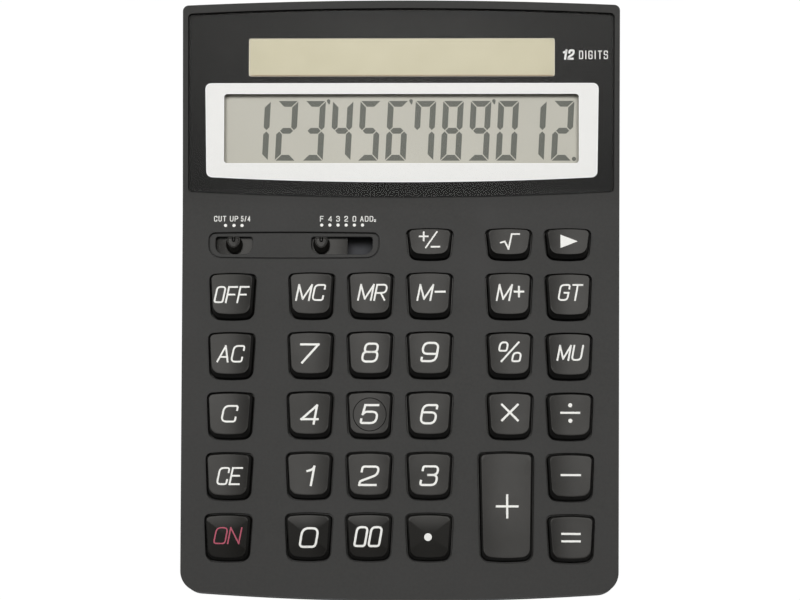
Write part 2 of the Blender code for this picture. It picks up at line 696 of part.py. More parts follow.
def make_upper_case(finish, deck, hood):
    """One moulding: deck, hood and skirt, with the key holes, the window's pocket, the switch
    strip and the bosses that hang from its inside."""
    rings = []
    for i in range(ROUND_STEPS + 1):
        angle = math.radians(90 * i / ROUND_STEPS)
        inset = EDGE_ROUND * (1 - math.sin(angle))
        drop = EDGE_ROUND * (1 - math.cos(angle))
        rings.append(case_ring(inset, top_height, -drop))
    rings.append(case_ring(-UPPER_DRAFT, parting_height))
    rings.append(case_ring(UPPER_WALL, parting_height))
    rings.append(case_ring(UPPER_WALL, inner_height))
    case = add_object("upper_case", skin(rings, "ladder", "ladder"), finish)

    root = -DECK_THICKNESS / 2
    hood_root = -HOOD_THICKNESS / 2
    deck_bosses = []
    pilot_holes = []
    for x in (BETWEEN_LEFT_KEYS_X, BETWEEN_RIGHT_KEYS_X):
        outline = circle((x, STANDOFF_Y), STANDOFF_RADIUS, BOSS_SIDES)
        deck_bosses.append(prism(outline, BOARD_TOP + SEAT_GAP, root))
    apply_boolean(case, add_cutter("deck_standoffs", joined(deck_bosses), deck), "UNION")
    hood_bosses = []
    for x in (-DISPLAY_STANDOFF_X, DISPLAY_STANDOFF_X):
        for y in (DISPLAY_BOARD_FRONT_Y + DISPLAY_STANDOFF_INSET,
                  DISPLAY_BOARD_REAR_Y - DISPLAY_STANDOFF_INSET):
            outline = circle((x, y), STANDOFF_RADIUS, BOSS_SIDES)
            hood_bosses.append(prism(outline, DISPLAY_BOARD_TOP + SEAT_GAP, hood_root))
    apply_boolean(case, add_cutter("hood_standoffs", joined(hood_bosses), hood), "UNION")
    screw_bosses = []
    for name in CASE_SCREWS:
        place, post_top, boss_root = screw_place(name)
        outline = circle((place.x, place.y), BOSS_RADIUS, BOSS_SIDES)
        screw_bosses.append(prism(outline, post_top + SEAT_GAP, boss_root))
        hole = circle((place.x, place.y), SCREW_RADIUS + WELL_CLEARANCE, BOSS_SIDES)
        pilot_holes.append(prism(hole, post_top - OVERRUN, post_top + SCREW_BITE + SEAT_GAP))
    apply_boolean(case, add_cutter("screw_bosses", joined(screw_bosses)), "UNION")
    apply_boolean(case, add_cutter("pilot_holes", joined(pilot_holes)), "DIFFERENCE")

    low = -DECK_THICKNESS - OVERRUN
    deck_cuts = []
    for kind, x, y in key_places().values():
        outline = moved(key_outline(kind, KEY_CLEARANCE), x, y)
        deck_cuts.append(prism(outline, low, OVERRUN))
    rounding = slot_ends(ROUNDING_KNOB_X, ROUNDING_TRAVEL, ROUNDING_TRAVEL)
    decimal = slot_ends(DECIMAL_KNOB_X, 0, DECIMAL_TRAVEL)
    strip_width = decimal[1] - rounding[0] + 2 * STRIP_END
    strip = bowed_outline(
        strip_width,
        strip_width,
        STRIP_LENGTH,
        STRIP_REAR_CORNER,
        STRIP_FRONT_CORNER,
        STRIP_BOW,
        STRIP_BOW,
        centre=((decimal[1] + rounding[0]) / 2, STRIP_Y),
    )
    deck_cuts.append(prism(strip, -STRIP_DEPTH, OVERRUN))
    apply_boolean(case, add_cutter("deck_openings", joined(deck_cuts), deck), "DIFFERENCE")
    slots = [prism(slot_outline(*ends), low, OVERRUN) for ends in (rounding, decimal)]
    apply_boolean(case, add_cutter("switch_slots", joined(slots), deck), "DIFFERENCE")

    pocket = prism(panel_outline(PANEL_PLAY), POCKET_FLOOR, OVERRUN)
    apply_boolean(case, add_cutter("window_pocket", pocket, hood), "DIFFERENCE")
    view = rounded_box(
        LCD_VIEW_WIDTH + 2 * LCD_VIEW_MARGIN,
        LCD_VIEW_LENGTH + 2 * LCD_VIEW_MARGIN,
        LCD_CORNER,
        (LCD_X, (LCD_VIEW_REAR_Y + LCD_VIEW_FRONT_Y) / 2),
    )
    bed = rounded_box(
        SOLAR_WIDTH + 2 * SEAT_GAP,
        SOLAR_LENGTH + 2 * SEAT_GAP,
        SOLAR_CORNER,
        (SOLAR_X, (SOLAR_REAR_Y + SOLAR_FRONT_Y) / 2),
    )
    beds = [
        prism(view, -HOOD_THICKNESS - OVERRUN, 0),
        prism(bed, BED_BOTTOM, 0),
    ]
    apply_boolean(case, add_cutter("display_openings", joined(beds), hood), "DIFFERENCE")
    return case


def screw_place(name):
    """Where a case screw stands, how high its post reaches, and where its boss is rooted."""
    x, y = CASE_SCREWS[name]
    if name.startswith("front"):
        place = deck_to_world(x, y, -DECK_THICKNESS / 2)
        return place, BASE_Z + FRONT_POST_HEIGHT, place.z
    place = hood_to_world(x, y, -HOOD_THICKNESS / 2)
    return place, BASE_Z + REAR_POST_HEIGHT, place.z


def make_lower_case(finish):
    """The tray: floor, tapering walls and the lip that locates the upper case, with screw
    posts, the battery bay and shallow seats for the feet."""
    def level_height(_):
        return 0

    low_rim = LOWER_TAPER + LOWER_ROUND
    inner = UPPER_WALL + SEAT_GAP + LIP_THICKNESS
    rings = [
        case_ring(low_rim, level_height, BASE_Z),
        case_ring(LOWER_TAPER, level_height, BASE_Z + LOWER_ROUND),
        case_ring(LOWER_STEP, parting_height, -SEAT_GAP),
        case_ring(UPPER_WALL + SEAT_GAP, parting_height, -SEAT_GAP),
        case_ring(UPPER_WALL + SEAT_GAP, parting_height, LIP_HEIGHT),
        case_ring(inner, parting_height, LIP_HEIGHT),
        case_ring(inner, level_height, FLOOR_Z),
    ]
    case = add_object("lower_case", skin(rings, "ladder", "ladder"), finish)

    rooted = BASE_Z + FLOOR_THICKNESS / 2
    posts = []
    wells = []
    for name in CASE_SCREWS:
        place, post_top, _ = screw_place(name)
        centre = (place.x, place.y)
        posts.append(prism(circle(centre, POST_RADIUS, BOSS_SIDES), rooted, post_top))
        seat = post_top - POST_LAND
        well = SCREW_HEAD_RADIUS + WELL_CLEARANCE
        shank = SCREW_RADIUS + WELL_CLEARANCE
        profile = ((well, BASE_Z - OVERRUN), (well, seat), (shank, seat), (shank, post_top + OVERRUN))
        wells.append(turned(profile, BOSS_SIDES, centre))
    apply_boolean(case, add_cutter("screw_posts", joined(posts)), "UNION")
    apply_boolean(case, add_cutter("screw_wells", joined(wells)), "DIFFERENCE")

    pad = rounded_box(
        COVER_WIDTH + 2 * COVER_PAD_MARGIN,
        COVER_LENGTH + 2 * COVER_PAD_MARGIN,
        COVER_CORNER,
        (BAY_X, BAY_Y),
    )
    apply_boolean(case, add_cutter("bay_pad", prism(pad, rooted, cell_bottom() + BAY_WALL)), "UNION")
    cup = circle((BAY_X, BAY_Y), bay_radius() + BAY_WALL, ROUND_SIDES)
    cup_mesh = prism(cup, cell_bottom(), bay_ceiling() + BAY_WALL)
    apply_boolean(case, add_cutter("bay_cup", cup_mesh), "UNION")
    seats = []
    for centre in foot_places().values():
        outline = circle(centre, FOOT_RADIUS + SEAT_GAP, ROUND_SIDES)
        seats.append(prism(outline, BASE_Z - OVERRUN, BASE_Z + FOOT_SINK))
    apply_boolean(case, add_cutter("foot_seats", joined(seats)), "DIFFERENCE")
    cover = rounded_box(
        COVER_WIDTH + 2 * SEAT_GAP, COVER_LENGTH + 2 * SEAT_GAP, COVER_CORNER, (BAY_X, BAY_Y)
    )
    opening = prism(cover, BASE_Z - OVERRUN, cell_bottom())
    apply_boolean(case, add_cutter("cover_opening", opening), "DIFFERENCE")
    bore = prism(circle((BAY_X, BAY_Y), bay_radius(), ROUND_SIDES), BASE_Z, bay_ceiling())
    apply_boolean(case, add_cutter("bay_bore", bore), "DIFFERENCE")
    return case


def foot_places():
    """Each foot's name with its place, set in from the sides and the ends of the case."""
    places = {}
    for end, y in (("front", FRONT_Y + FOOT_END_INSET), ("rear", REAR_Y - FOOT_END_INSET)):
        x = half_width(y) - FOOT_SIDE_INSET
        places[f"foot_{end}_left"] = (-x, y)
        places[f"foot_{end}_right"] = (x, y)
    return places


def cell_bottom():
    return BASE_Z + COVER_THICKNESS + SEAT_GAP


def bay_radius():
    """Room for the cell and the flat side contact, with a gap on each side of it."""
    return CELL_RADIUS + CONTACT_THICKNESS + 3 * SEAT_GAP


def bay_ceiling():
    """Room over the cell for the top contact."""
    return cell_bottom() + CELL_HEIGHT + CONTACT_THICKNESS + 2 * SEAT_GAP


def make_keycap(name, kind, x, y, finish, deck):
    """A moulded cap: a flange that stays under the deck, sloping walls and a dished face. The
    thumb keys' faces roll over to the front."""
    thumb = name in THUMB_KEYS
    face = face_outline(kind)
    front = min(py for _, py in face)
    rear = max(py for _, py in face)
    half = max(px for px, _ in face)

    def face_height(px, py):
        height = KEY_HEIGHT + KEY_DISH * (px / half) ** 2
        if thumb:
            start = rear + (front - rear) * ROLL_START_SHARE
            share = min(max((start - py) / (start - front), 0), 1)
            height -= KEY_ROLL * share**2
        return height

    foot = key_outline(kind)
    flange = key_outline(kind, FLANGE_REACH)
    brim = face_outline(kind, KEY_EDGE / 2)
    rings = [
        level(flange, KEY_BOTTOM),
        level(flange, FLANGE_TOP),
        level(foot, FLANGE_TOP),
        level(foot, 0),
        [Vector((px, py, face_height(px, py) - KEY_EDGE)) for px, py in brim],
        [Vector((px, py, face_height(px, py))) for px, py in face],
    ]
    middle_y = (front + rear) / 2
    middle = Vector((0, middle_y, face_height(0, middle_y)))
    return add_object(name, skin(rings, "flat", middle), finish, deck, (x, y, 0))


def mat_outline():
    """The mat's plan: under all the keys, and stepped back where the slide switches are."""
    flange = FLANGE_REACH + MAT_MARGIN
    side = KEY_FIELD + flange
    front = LAST_ROW_Y - ROW_SAG - KEY_LENGTH / 2 - KEY_FRONT_BOW - MAT_MARGIN
    step = FIRST_ROW_Y + KEY_LENGTH / 2 + flange
    rear = SMALL_ROW_Y + SMALL_KEY_LENGTH / 2 + flange
    inner = COLUMNS[SMALL_KEYS["key_sign"]] - KEY_WIDTH / 2 - flange
    return [(-side, front), (side, front), (side, rear), (inner, rear), (inner, step), (-side, step)]


def make_key_mat(finish, deck):
    """The moulded rubber sheet with a hollow dome under each key, and two under the tall one."""
    mat = add_object("key_mat", prism(mat_outline(), MAT_BOTTOM, MAT_TOP), finish, deck)
    domes = []
    for kind, x, y in key_places().values():
        spread = (-TALL_DOME_SPREAD, TALL_DOME_SPREAD) if kind == "tall" else (0,)
        for shift in spread:
            profile = (
                (DOME_BASE_RADIUS, MAT_TOP - MAT_THICKNESS / 2),
                (DOME_BASE_RADIUS, MAT_TOP),
                (DOME_TOP_RADIUS, MAT_TOP + DOME_HEIGHT),
            )
            domes.append(turned(profile, DOME_SIDES, (x, y + shift)))
    apply_boolean(mat, add_cutter("mat_domes", joined(domes), deck), "UNION")
    cut_boss_holes(mat, "mat", MAT_BOTTOM - OVERRUN, MAT_TOP + OVERRUN, deck, True)
    return mat


def cut_boss_holes(sheet, label, bottom, top, deck, standoffs):
    """Holes in a sheet where the screw bosses and standoffs pass through it."""
    holes = []
    for name in ("front_left", "front_right"):
        x, y = CASE_SCREWS[name]
        radius = POST_RADIUS + WELL_CLEARANCE + LEAN_ROOM
        holes.append(prism(circle((x, y), radius, BOSS_SIDES), bottom, top))
    if standoffs:
        for x in (BETWEEN_LEFT_KEYS_X, BETWEEN_RIGHT_KEYS_X):
            radius = STANDOFF_RADIUS + WELL_CLEARANCE
            holes.append(prism(circle((x, STANDOFF_Y), radius, BOSS_SIDES), bottom, top))
    apply_boolean(sheet, add_cutter(f"{label}_holes", joined(holes), deck), "DIFFERENCE")


def make_main_board(finish, deck):
    """The keyboard's printed circuit board, clamped under the mat."""
    outline = rounded_box(
        BOARD_WIDTH,
        BOARD_REAR_Y - BOARD_FRONT_Y,
        BOARD_CORNER,
        (0, (BOARD_REAR_Y + BOARD_FRONT_Y) / 2),
    )
    board = add_object("main_board", prism(outline, BOARD_BOTTOM, BOARD_TOP), finish, deck)
    cut_boss_holes(board, "board", BOARD_BOTTOM - OVERRUN, BOARD_TOP + OVERRUN, deck, False)
    return board


def make_chip(finish, deck):
    """The blob of black epoxy over the chip, on the board's underside."""
    top = BOARD_BOTTOM - SEAT_GAP
    profile = [(CHIP_RADIUS * out, top - CHIP_HEIGHT * down) for out, down in reversed(CHIP_SHARES)]
    return add_object("chip_blob", turned(profile, ROUND_SIDES, (CHIP_X, CHIP_Y)), finish, deck)


def make_knob(name, x, finish, deck):
    """A switch knob on its slider plate, which runs under the deck."""
    plate = rounded_box(SLIDER_WIDTH, SLIDER_LENGTH, SLIDER_CORNER)
    plate_top = FLANGE_TOP
    foot = knob_outline(KNOB_FLARE)
    neck = knob_outline(KNOB_EDGE)
    face = knob_outline(0)
    rings = [
        level(plate, plate_top - SLIDER_THICKNESS),
        level(plate, plate_top),
        level(foot, plate_top),
        level(neck, KNOB_HEIGHT - KNOB_EDGE),
        level(face, KNOB_HEIGHT),
    ]
    return add_object(name, skin(rings), finish, deck, (x, STRIP_Y, 0))


def knob_outline(grow):
    """A shield: straight at the rear and rounded in front, where a finger pushes it."""
    return bowed_outline(
        KNOB_WIDTH + 2 * grow,
        KNOB_WIDTH + 2 * grow,
        KNOB_LENGTH + 2 * grow,
        KNOB_REAR_CORNER + grow,
        KNOB_FRONT_CORNER + grow,
        centre=(0, KNOB_SET_BACK),
    )


def make_wiper(name, x, finish, deck):
    """The sprung contact under a slider, whose toes run on the board's tracks."""
    high = FLANGE_TOP - SLIDER_THICKNESS - SEAT_GAP - WIPER_THICKNESS / 2
    low = BOARD_TOP + SEAT_GAP + WIPER_THICKNESS / 2
    toe = WIPER_SPAN / 2 - WIPER_TOE
    path = (
        (-WIPER_SPAN / 2, low + WIPER_TOE),
        (-toe, low),
        (-WIPER_FLAT / 2, high),
        (WIPER_FLAT / 2, high),
        (toe, low),
        (WIPER_SPAN / 2, low + WIPER_TOE),
    )
    mesh = strip_along_y(path, WIPER_THICKNESS, WIPER_WIDTH, 0)
    return add_object(name, mesh, finish, deck, (x, STRIP_Y, 0))


def make_display(finishes, hood):
    """Window, solar cell, liquid crystal glass, its rubber connector and the display board."""
    top = -WINDOW_SINK
    window = prism(panel_outline(-PANEL_PLAY), top - WINDOW_THICKNESS, top)
    add_object("display_window", window, finishes["acrylic"], hood)

    cell = rounded_box(
        SOLAR_WIDTH,
        SOLAR_LENGTH,
        SOLAR_CORNER,
        (SOLAR_X, (SOLAR_REAR_Y + SOLAR_FRONT_Y) / 2),
    )
    solar = prism(cell, SOLAR_TOP - SOLAR_THICKNESS, SOLAR_TOP)
    add_object("solar_cell", solar, finishes["solar"], hood)

    lcd_length = LCD_VIEW_LENGTH + 2 * (LCD_VIEW_MARGIN + LCD_RIM)
    lcd_y = (LCD_VIEW_REAR_Y + LCD_VIEW_FRONT_Y) / 2
    glass = rounded_box(LCD_GLASS_WIDTH, lcd_length, LCD_CORNER, (LCD_X, lcd_y))
    add_object("lcd_glass", prism(glass, LCD_TOP - LCD_THICKNESS, LCD_TOP), finishes["lcd"], hood)

    strip_y = lcd_y - lcd_length / 2 + CONNECTOR_LENGTH
    strip = rounded_box(CONNECTOR_WIDTH, CONNECTOR_LENGTH, CONNECTOR_LENGTH / 4, (LCD_X, strip_y))
    connector = prism(strip, CONNECTOR_TOP - CONNECTOR_HEIGHT, CONNECTOR_TOP)
    add_object("lcd_connector", connector, finishes["zebra"], hood)

    board = rounded_box(
        DISPLAY_BOARD_WIDTH,
        DISPLAY_BOARD_REAR_Y - DISPLAY_BOARD_FRONT_Y,
        BOARD_CORNER,
        (0, (DISPLAY_BOARD_REAR_Y + DISPLAY_BOARD_FRONT_Y) / 2),
    )
    mesh = prism(board, DISPLAY_BOARD_TOP - BOARD_THICKNESS, DISPLAY_BOARD_TOP)
    add_object("display_board", mesh, finishes["board"], hood)


def make_ribbon(finish):
    """The flat cable that joins the undersides of the two boards across the crease."""
    drop = BOARD_THICKNESS + SEAT_GAP + RIBBON_THICKNESS / 2
    places = (
        deck_to_world(0, BOARD_REAR_Y - RIBBON_LAP, BOARD_TOP - drop),
        deck_to_world(0, BOARD_REAR_Y + SEAT_GAP, BOARD_TOP - drop),
        hood_to_world(0, DISPLAY_BOARD_FRONT_Y - SEAT_GAP, DISPLAY_BOARD_TOP - drop),
        hood_to_world(0, DISPLAY_BOARD_FRONT_Y + RIBBON_LAP, DISPLAY_BOARD_TOP - drop),
    )
    path = [(place.y, place.z) for place in places]
    mesh = strip_along_x(path, RIBBON_THICKNESS, RIBBON_WIDTH, RIBBON_X)
    return add_object("board_ribbon", mesh, finish)


def make_battery(finishes):
    """The button cell, its two contacts and the cover over the bay."""
    bottom = cell_bottom()
    top = bottom + CELL_HEIGHT
    profile = (
        (CELL_RADIUS * CELL_STEP_SHARE, bottom),
        (CELL_RADIUS * CELL_STEP_SHARE, bottom + CELL_STEP),
        (CELL_RADIUS, bottom + CELL_STEP),
        (CELL_RADIUS, top),
    )
    cell = turned(profile, ROUND_SIDES, (BAY_X, BAY_Y))
    add_object("battery_cell", cell, finishes["steel"])

    side_x = BAY_X + CELL_RADIUS + SEAT_GAP + CONTACT_THICKNESS / 2
    path = ((side_x, bottom + CELL_STEP), (side_x, top))
    side = strip_along_y(path, CONTACT_THICKNESS, CONTACT_WIDTH, BAY_Y)
    add_object("battery_side_contact", side, finishes["steel"])
    height = top + SEAT_GAP + CONTACT_THICKNESS / 2
    path = ((BAY_X - CONTACT_REACH, height), (BAY_X + CONTACT_REACH, height))
    upper = strip_along_y(path, CONTACT_THICKNESS, CONTACT_WIDTH, BAY_Y)
    add_object("battery_top_contact", upper, finishes["steel"])

    outline = rounded_box(COVER_WIDTH, COVER_LENGTH, COVER_CORNER, (BAY_X, BAY_Y))
    cover = prism(outline, BASE_Z, BASE_Z + COVER_THICKNESS)
    add_object("battery_cover", cover, finishes["shell"])


def make_screw(name, finish):
    """A self tapping screw, head down in its well."""
    place, post_top, _ = screw_place(name)
    seat = post_top - POST_LAND - SEAT_GAP
    profile = (
        (SCREW_HEAD_RADIUS, seat - SCREW_HEAD_HEIGHT),
        (SCREW_HEAD_RADIUS, seat),
        (SCREW_RADIUS, seat),
        (SCREW_RADIUS, post_top + SCREW_BITE),
    )
    mesh = turned(profile, BOSS_SIDES, (place.x, place.y))
    return add_object(f"case_screw_{name}", mesh, finish)


def make_foot(name, centre, finish):
    profile = (
        (FOOT_RADIUS - FOOT_EDGE, 0),
        (FOOT_RADIUS, FOOT_EDGE),
        (FOOT_RADIUS, BASE_Z + FOOT_SINK - SEAT_GAP),
    )
    return add_object(name, turned(profile, ROUND_SIDES, centre), finish)


def build():
    clear_scene()
    deck = frame_empty("deck_frame", DECK_TILT)
    hood = frame_empty("hood_frame", HOOD_TILT)
    finishes = {
        "shell": material("black_case_plastic", (0.042, 0.042, 0.042), 0.5),
        "keys": material("black_key_plastic", (0.06, 0.06, 0.058), 0.4),
        "acrylic": material("clear_acrylic", (0.9, 0.9, 0.9), 0.05, alpha=0.3),
        "lcd": material("lcd_glass", (0.5, 0.49, 0.45), 0.3),
        "solar": material("solar_glass", (0.62, 0.58, 0.43), 0.25),
        "zebra": material("striped_rubber", (0.5, 0.5, 0.52), 0.6),
        "board": material("board_laminate", (0.25, 0.16, 0.06), 0.5),
        "mat": material("mat_rubber", (0.35, 0.35, 0.36), 0.7),
        "epoxy": material("black_epoxy", (0.01, 0.01, 0.01), 0.3),
        "cable": material("cable_film", (0.7, 0.66, 0.5), 0.4),
        "steel": material("plated_steel", (0.6, 0.6, 0.6), 0.3, metallic=1.0),
        "feet": material("foot_rubber", (0.02, 0.02, 0.02), 0.8),
    }
    make_upper_case(finishes["shell"], deck, hood)
    make_lower_case(finishes["shell"])
    for name, (kind, x, y) in key_places().items():
        make_keycap(name, kind, x, y, finishes["keys"], deck)
    make_key_mat(finishes["mat"], deck)
    make_main_board(finishes["board"], deck)
    make_chip(finishes["epoxy"], deck)
    for name, x in (("rounding", ROUNDING_KNOB_X), ("decimal", DECIMAL_KNOB_X)):
        make_knob(f"{name}_knob", x, finishes["keys"], deck)
        make_wiper(f"{name}_wiper", x, finishes["steel"], deck)
    make_display(finishes, hood)
    make_ribbon(finishes["cable"])
    make_battery(finishes)
    for name in CASE_SCREWS:
        make_screw(name, finishes["steel"])
    for name, centre in foot_places().items():
        make_foot(name, centre, finishes["feet"])


build()
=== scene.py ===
"""A twelve digit solar calculator, seen from above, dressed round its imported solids."""
import math

import bpy
import numpy as np
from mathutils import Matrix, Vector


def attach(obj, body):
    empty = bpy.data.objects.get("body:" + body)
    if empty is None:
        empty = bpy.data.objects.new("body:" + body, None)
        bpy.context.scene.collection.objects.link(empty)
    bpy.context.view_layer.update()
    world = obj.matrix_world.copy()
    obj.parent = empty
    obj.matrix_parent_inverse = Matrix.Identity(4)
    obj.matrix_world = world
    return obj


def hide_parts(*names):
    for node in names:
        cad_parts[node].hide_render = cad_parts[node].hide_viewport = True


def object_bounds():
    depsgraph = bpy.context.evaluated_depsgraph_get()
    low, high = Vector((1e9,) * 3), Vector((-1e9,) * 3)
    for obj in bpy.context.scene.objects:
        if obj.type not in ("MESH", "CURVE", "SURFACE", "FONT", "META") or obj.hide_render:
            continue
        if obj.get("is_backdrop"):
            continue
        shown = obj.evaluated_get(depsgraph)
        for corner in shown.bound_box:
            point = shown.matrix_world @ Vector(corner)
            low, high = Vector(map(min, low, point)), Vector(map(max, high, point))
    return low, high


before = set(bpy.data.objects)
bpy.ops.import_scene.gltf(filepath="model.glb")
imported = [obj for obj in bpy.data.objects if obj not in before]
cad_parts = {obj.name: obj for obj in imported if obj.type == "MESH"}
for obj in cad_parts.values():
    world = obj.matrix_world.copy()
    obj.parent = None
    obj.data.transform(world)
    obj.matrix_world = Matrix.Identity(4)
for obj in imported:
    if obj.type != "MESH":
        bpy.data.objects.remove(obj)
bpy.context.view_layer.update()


# Upper case. One shell of black ABS, injection moulded with a finely etched face and folded at
# the crease between the key deck and the display hood. Screws from below hold it on the tray.
MM = 0.001


def mm(*lengths):
    """Lengths in millimetres as metres."""
    return tuple(length * MM for length in lengths)


DECK_TILT, HOOD_TILT = math.radians(4.5), math.radians(12.0)
CREASE_Y, CREASE_Z, CREASE_BLEND = mm(33.54222, 23.19456, 4.0)
FRONT_Y, REAR_Y, PARTING_DEPTH = mm(-102.73638, 102.73638, 7.9692)
FRONT_WIDTH, CREASE_WIDTH, REAR_WIDTH = mm(147.8, 152.4, 153.0)
FRONT_BOW, REAR_BOW, FRONT_CORNER, REAR_CORNER = mm(2.8, 1.7, 7.0, 2.0)
EDGE_ROUND, UPPER_WALL, UPPER_DRAFT = mm(1.2, 2.0, 0.1)
DECK_THICKNESS, HOOD_THICKNESS, RAMP_LENGTH = mm(2.2, 4.0, 6.0)
POCKET_FLOOR, BED_FLOOR, FLANGE_TOP = mm(-1.9, -3.3, -2.5)
SEAT_GAP, OVERRUN = mm(0.3, 2.0)
COLUMNS = np.array([-58.0, -30.6, -10.2, 10.2, 37.6, 58.0]) * MM
SMALL_ROW_Y, FIRST_ROW_Y, ROW_PITCH, ROW_SAG = mm(-15.0, -33.125, 20.7, 0.35)
KEY_ROWS = (
    ("key_off", "key_mc", "key_mr", "key_m_minus", "key_m_plus", "key_gt"),
    ("key_ac", "key_7", "key_8", "key_9", "key_percent", "key_mu"),
    ("key_c", "key_4", "key_5", "key_6", "key_times", "key_divide"),
    ("key_ce", "key_1", "key_2", "key_3", None, "key_minus"),
    ("key_on", "key_0", "key_00", "key_point", None, "key_equals"),
)
KEY_SIZES = {  # foot's width at the rear, at the front, and length
    "square": mm(15.7, 14.5, 14.75),
    "small": mm(15.7, 14.5, 9.6),
    "tall": mm(18.5, 17.3, 35.75),
}
KEY_CORNERS, KEY_BOWS = mm(1.2, 2.4), mm(0.55, 0.65)
KEY_CLEARANCE, HOLE_ROUND, STRIP_ROUND = mm(0.35, 0.22, 0.3)
STRIP_Y, STRIP_DEPTH, STRIP_LEFT, STRIP_RIGHT = mm(-15.3, 0.5, -66.75, -7.4)
STRIP_LENGTH, STRIP_CORNERS, STRIP_BOWS = 8.8 * MM, mm(2.2, 4.2), mm(0.3, 0.3)
GROOVE_WIDTH, GROOVE_DEPTH = mm(0.42, 1.2)
SLOTS = (mm(-64.45, -51.55), mm(-31.05, -9.7))
SLOT_LENGTH, SLOT_CORNERS, SLOT_ROUND = 6.2 * MM, mm(0.9, 3.0), 0.15 * MM
PANEL_FRONT_Y, PANEL_REAR_Y = mm(3.87, 65.78)
PANEL_WIDTHS, PANEL_BOWS, PANEL_CORNER = mm(148.5, 147.9), mm(1.9, 2.0), 1.0 * MM
POCKET_GAP, POCKET_ROUND = mm(0.34, 0.2)
LCD_BED = mm(0.2, 25.76, 126.5, 26.84)  # middle x and y, width, length
SOLAR_BED = mm(0.2, 50.78, 109.9, 16.0)
SCREWS = {  # x, y, top of the post, root of the boss
    "front_left": mm(-44.3, -71.62, 6.4, 13.8),
    "front_right": mm(22.5, -71.62, 6.4, 13.8),
    "rear_left": mm(-48.0, 94.64, 16.2, 33.0),
    "rear_right": mm(48.0, 94.64, 16.2, 33.0),
}
BOSS_RADIUS, PILOT_RADIUS, SCREW_BITE = mm(2.2, 1.4, 5.0)
SHARP_ANGLE = 35  # degrees between faces, past which their edge is drawn sharp


def top_height(y):
    """Height of the top: the deck's plane in front of the crease and the hood's behind it,
    joined by a parabola that leaves each plane CREASE_BLEND away from the fold."""
    past = y - CREASE_Y
    rise = math.tan(HOOD_TILT) - math.tan(DECK_TILT)
    blend = np.clip(past + CREASE_BLEND, 0, 2 * CREASE_BLEND)
    curve = rise * blend**2 / (4 * CREASE_BLEND) + rise * np.clip(past - CREASE_BLEND, 0, None)
    return CREASE_Z + past * math.tan(DECK_TILT) + curve


def inner_height(y):
    """Height of the underside: the top less the deck's wall, which a ramp thickens to the
    hood's just before the crease."""
    deck = DECK_THICKNESS / math.cos(DECK_TILT)
    hood = HOOD_THICKNESS / math.cos(HOOD_TILT)
    share = np.clip((y - CREASE_Y + RAMP_LENGTH) / RAMP_LENGTH, 0, 1)
    return top_height(y) - deck - (hood - deck) * share


def parting_height(y):
    """Height of the line where the two halves of the case meet: a fixed depth under the top."""
    rise = np.where(y > CREASE_Y, math.tan(HOOD_TILT), math.tan(DECK_TILT))
    return CREASE_Z + (y - CREASE_Y) * rise - PARTING_DEPTH


def half_width(y):
    """Half the case's width, by straight lines between its front, its crease and its rear."""
    return np.interp(y, (FRONT_Y, CREASE_Y, REAR_Y), (FRONT_WIDTH, CREASE_WIDTH, REAR_WIDTH)) / 2


def mirrored(x, y):
    """The outline whose right half runs from x = 0 in front to x = 0 at the rear."""
    left = slice(-2, 0, -1)
    return np.stack([np.concatenate([x, -x[left]]), np.concatenate([y, y[left]])], -1)


def case_plan(inset):
    """The case's outline, set in: a parabola in front, a corner arc, the flaring side, a
    smaller arc and the rear's parabola, and their mirror image."""
    front_corner, rear_corner = FRONT_CORNER - inset, max(REAR_CORNER - inset, REAR_CORNER / 4)
    front_bow = FRONT_BOW * (1 - (inset + front_corner) / (FRONT_WIDTH / 2)) ** 2
    rear_bow = REAR_BOW * (1 - (inset + rear_corner) / (REAR_WIDTH / 2)) ** 2
    front_y = FRONT_Y + inset + front_bow + front_corner
    rear_y = REAR_Y - inset - rear_bow - rear_corner
    front_x = half_width(front_y) - inset - front_corner
    rear_x = half_width(rear_y) - inset - rear_corner
    run = np.linspace(0, 1, 13)[:-1]
    front_turn = np.linspace(math.atan2(2 * front_bow, front_x) - math.pi / 2, 0, 13)
    rear_turn = np.linspace(0, math.pi / 2 - math.atan2(2 * rear_bow, rear_x), 9)
    side = np.concatenate([
        np.linspace(front_y, CREASE_Y - CREASE_BLEND, 14)[1:],
        np.linspace(CREASE_Y - CREASE_BLEND, CREASE_Y + CREASE_BLEND, 11)[1:],
        np.linspace(CREASE_Y + CREASE_BLEND, rear_y, 8)[1:-1],
    ])
    x = np.concatenate([
        front_x * run, front_x + front_corner * np.cos(front_turn), half_width(side) - inset,
        rear_x + rear_corner * np.cos(rear_turn), rear_x * run[::-1],
    ])
    y = np.concatenate([
        FRONT_Y + inset + front_bow * run**2, front_y + front_corner * np.sin(front_turn), side,
        rear_y + rear_corner * np.sin(rear_turn), REAR_Y - inset - rear_bow * run[::-1] ** 2,
    ])
    return mirrored(x, y)


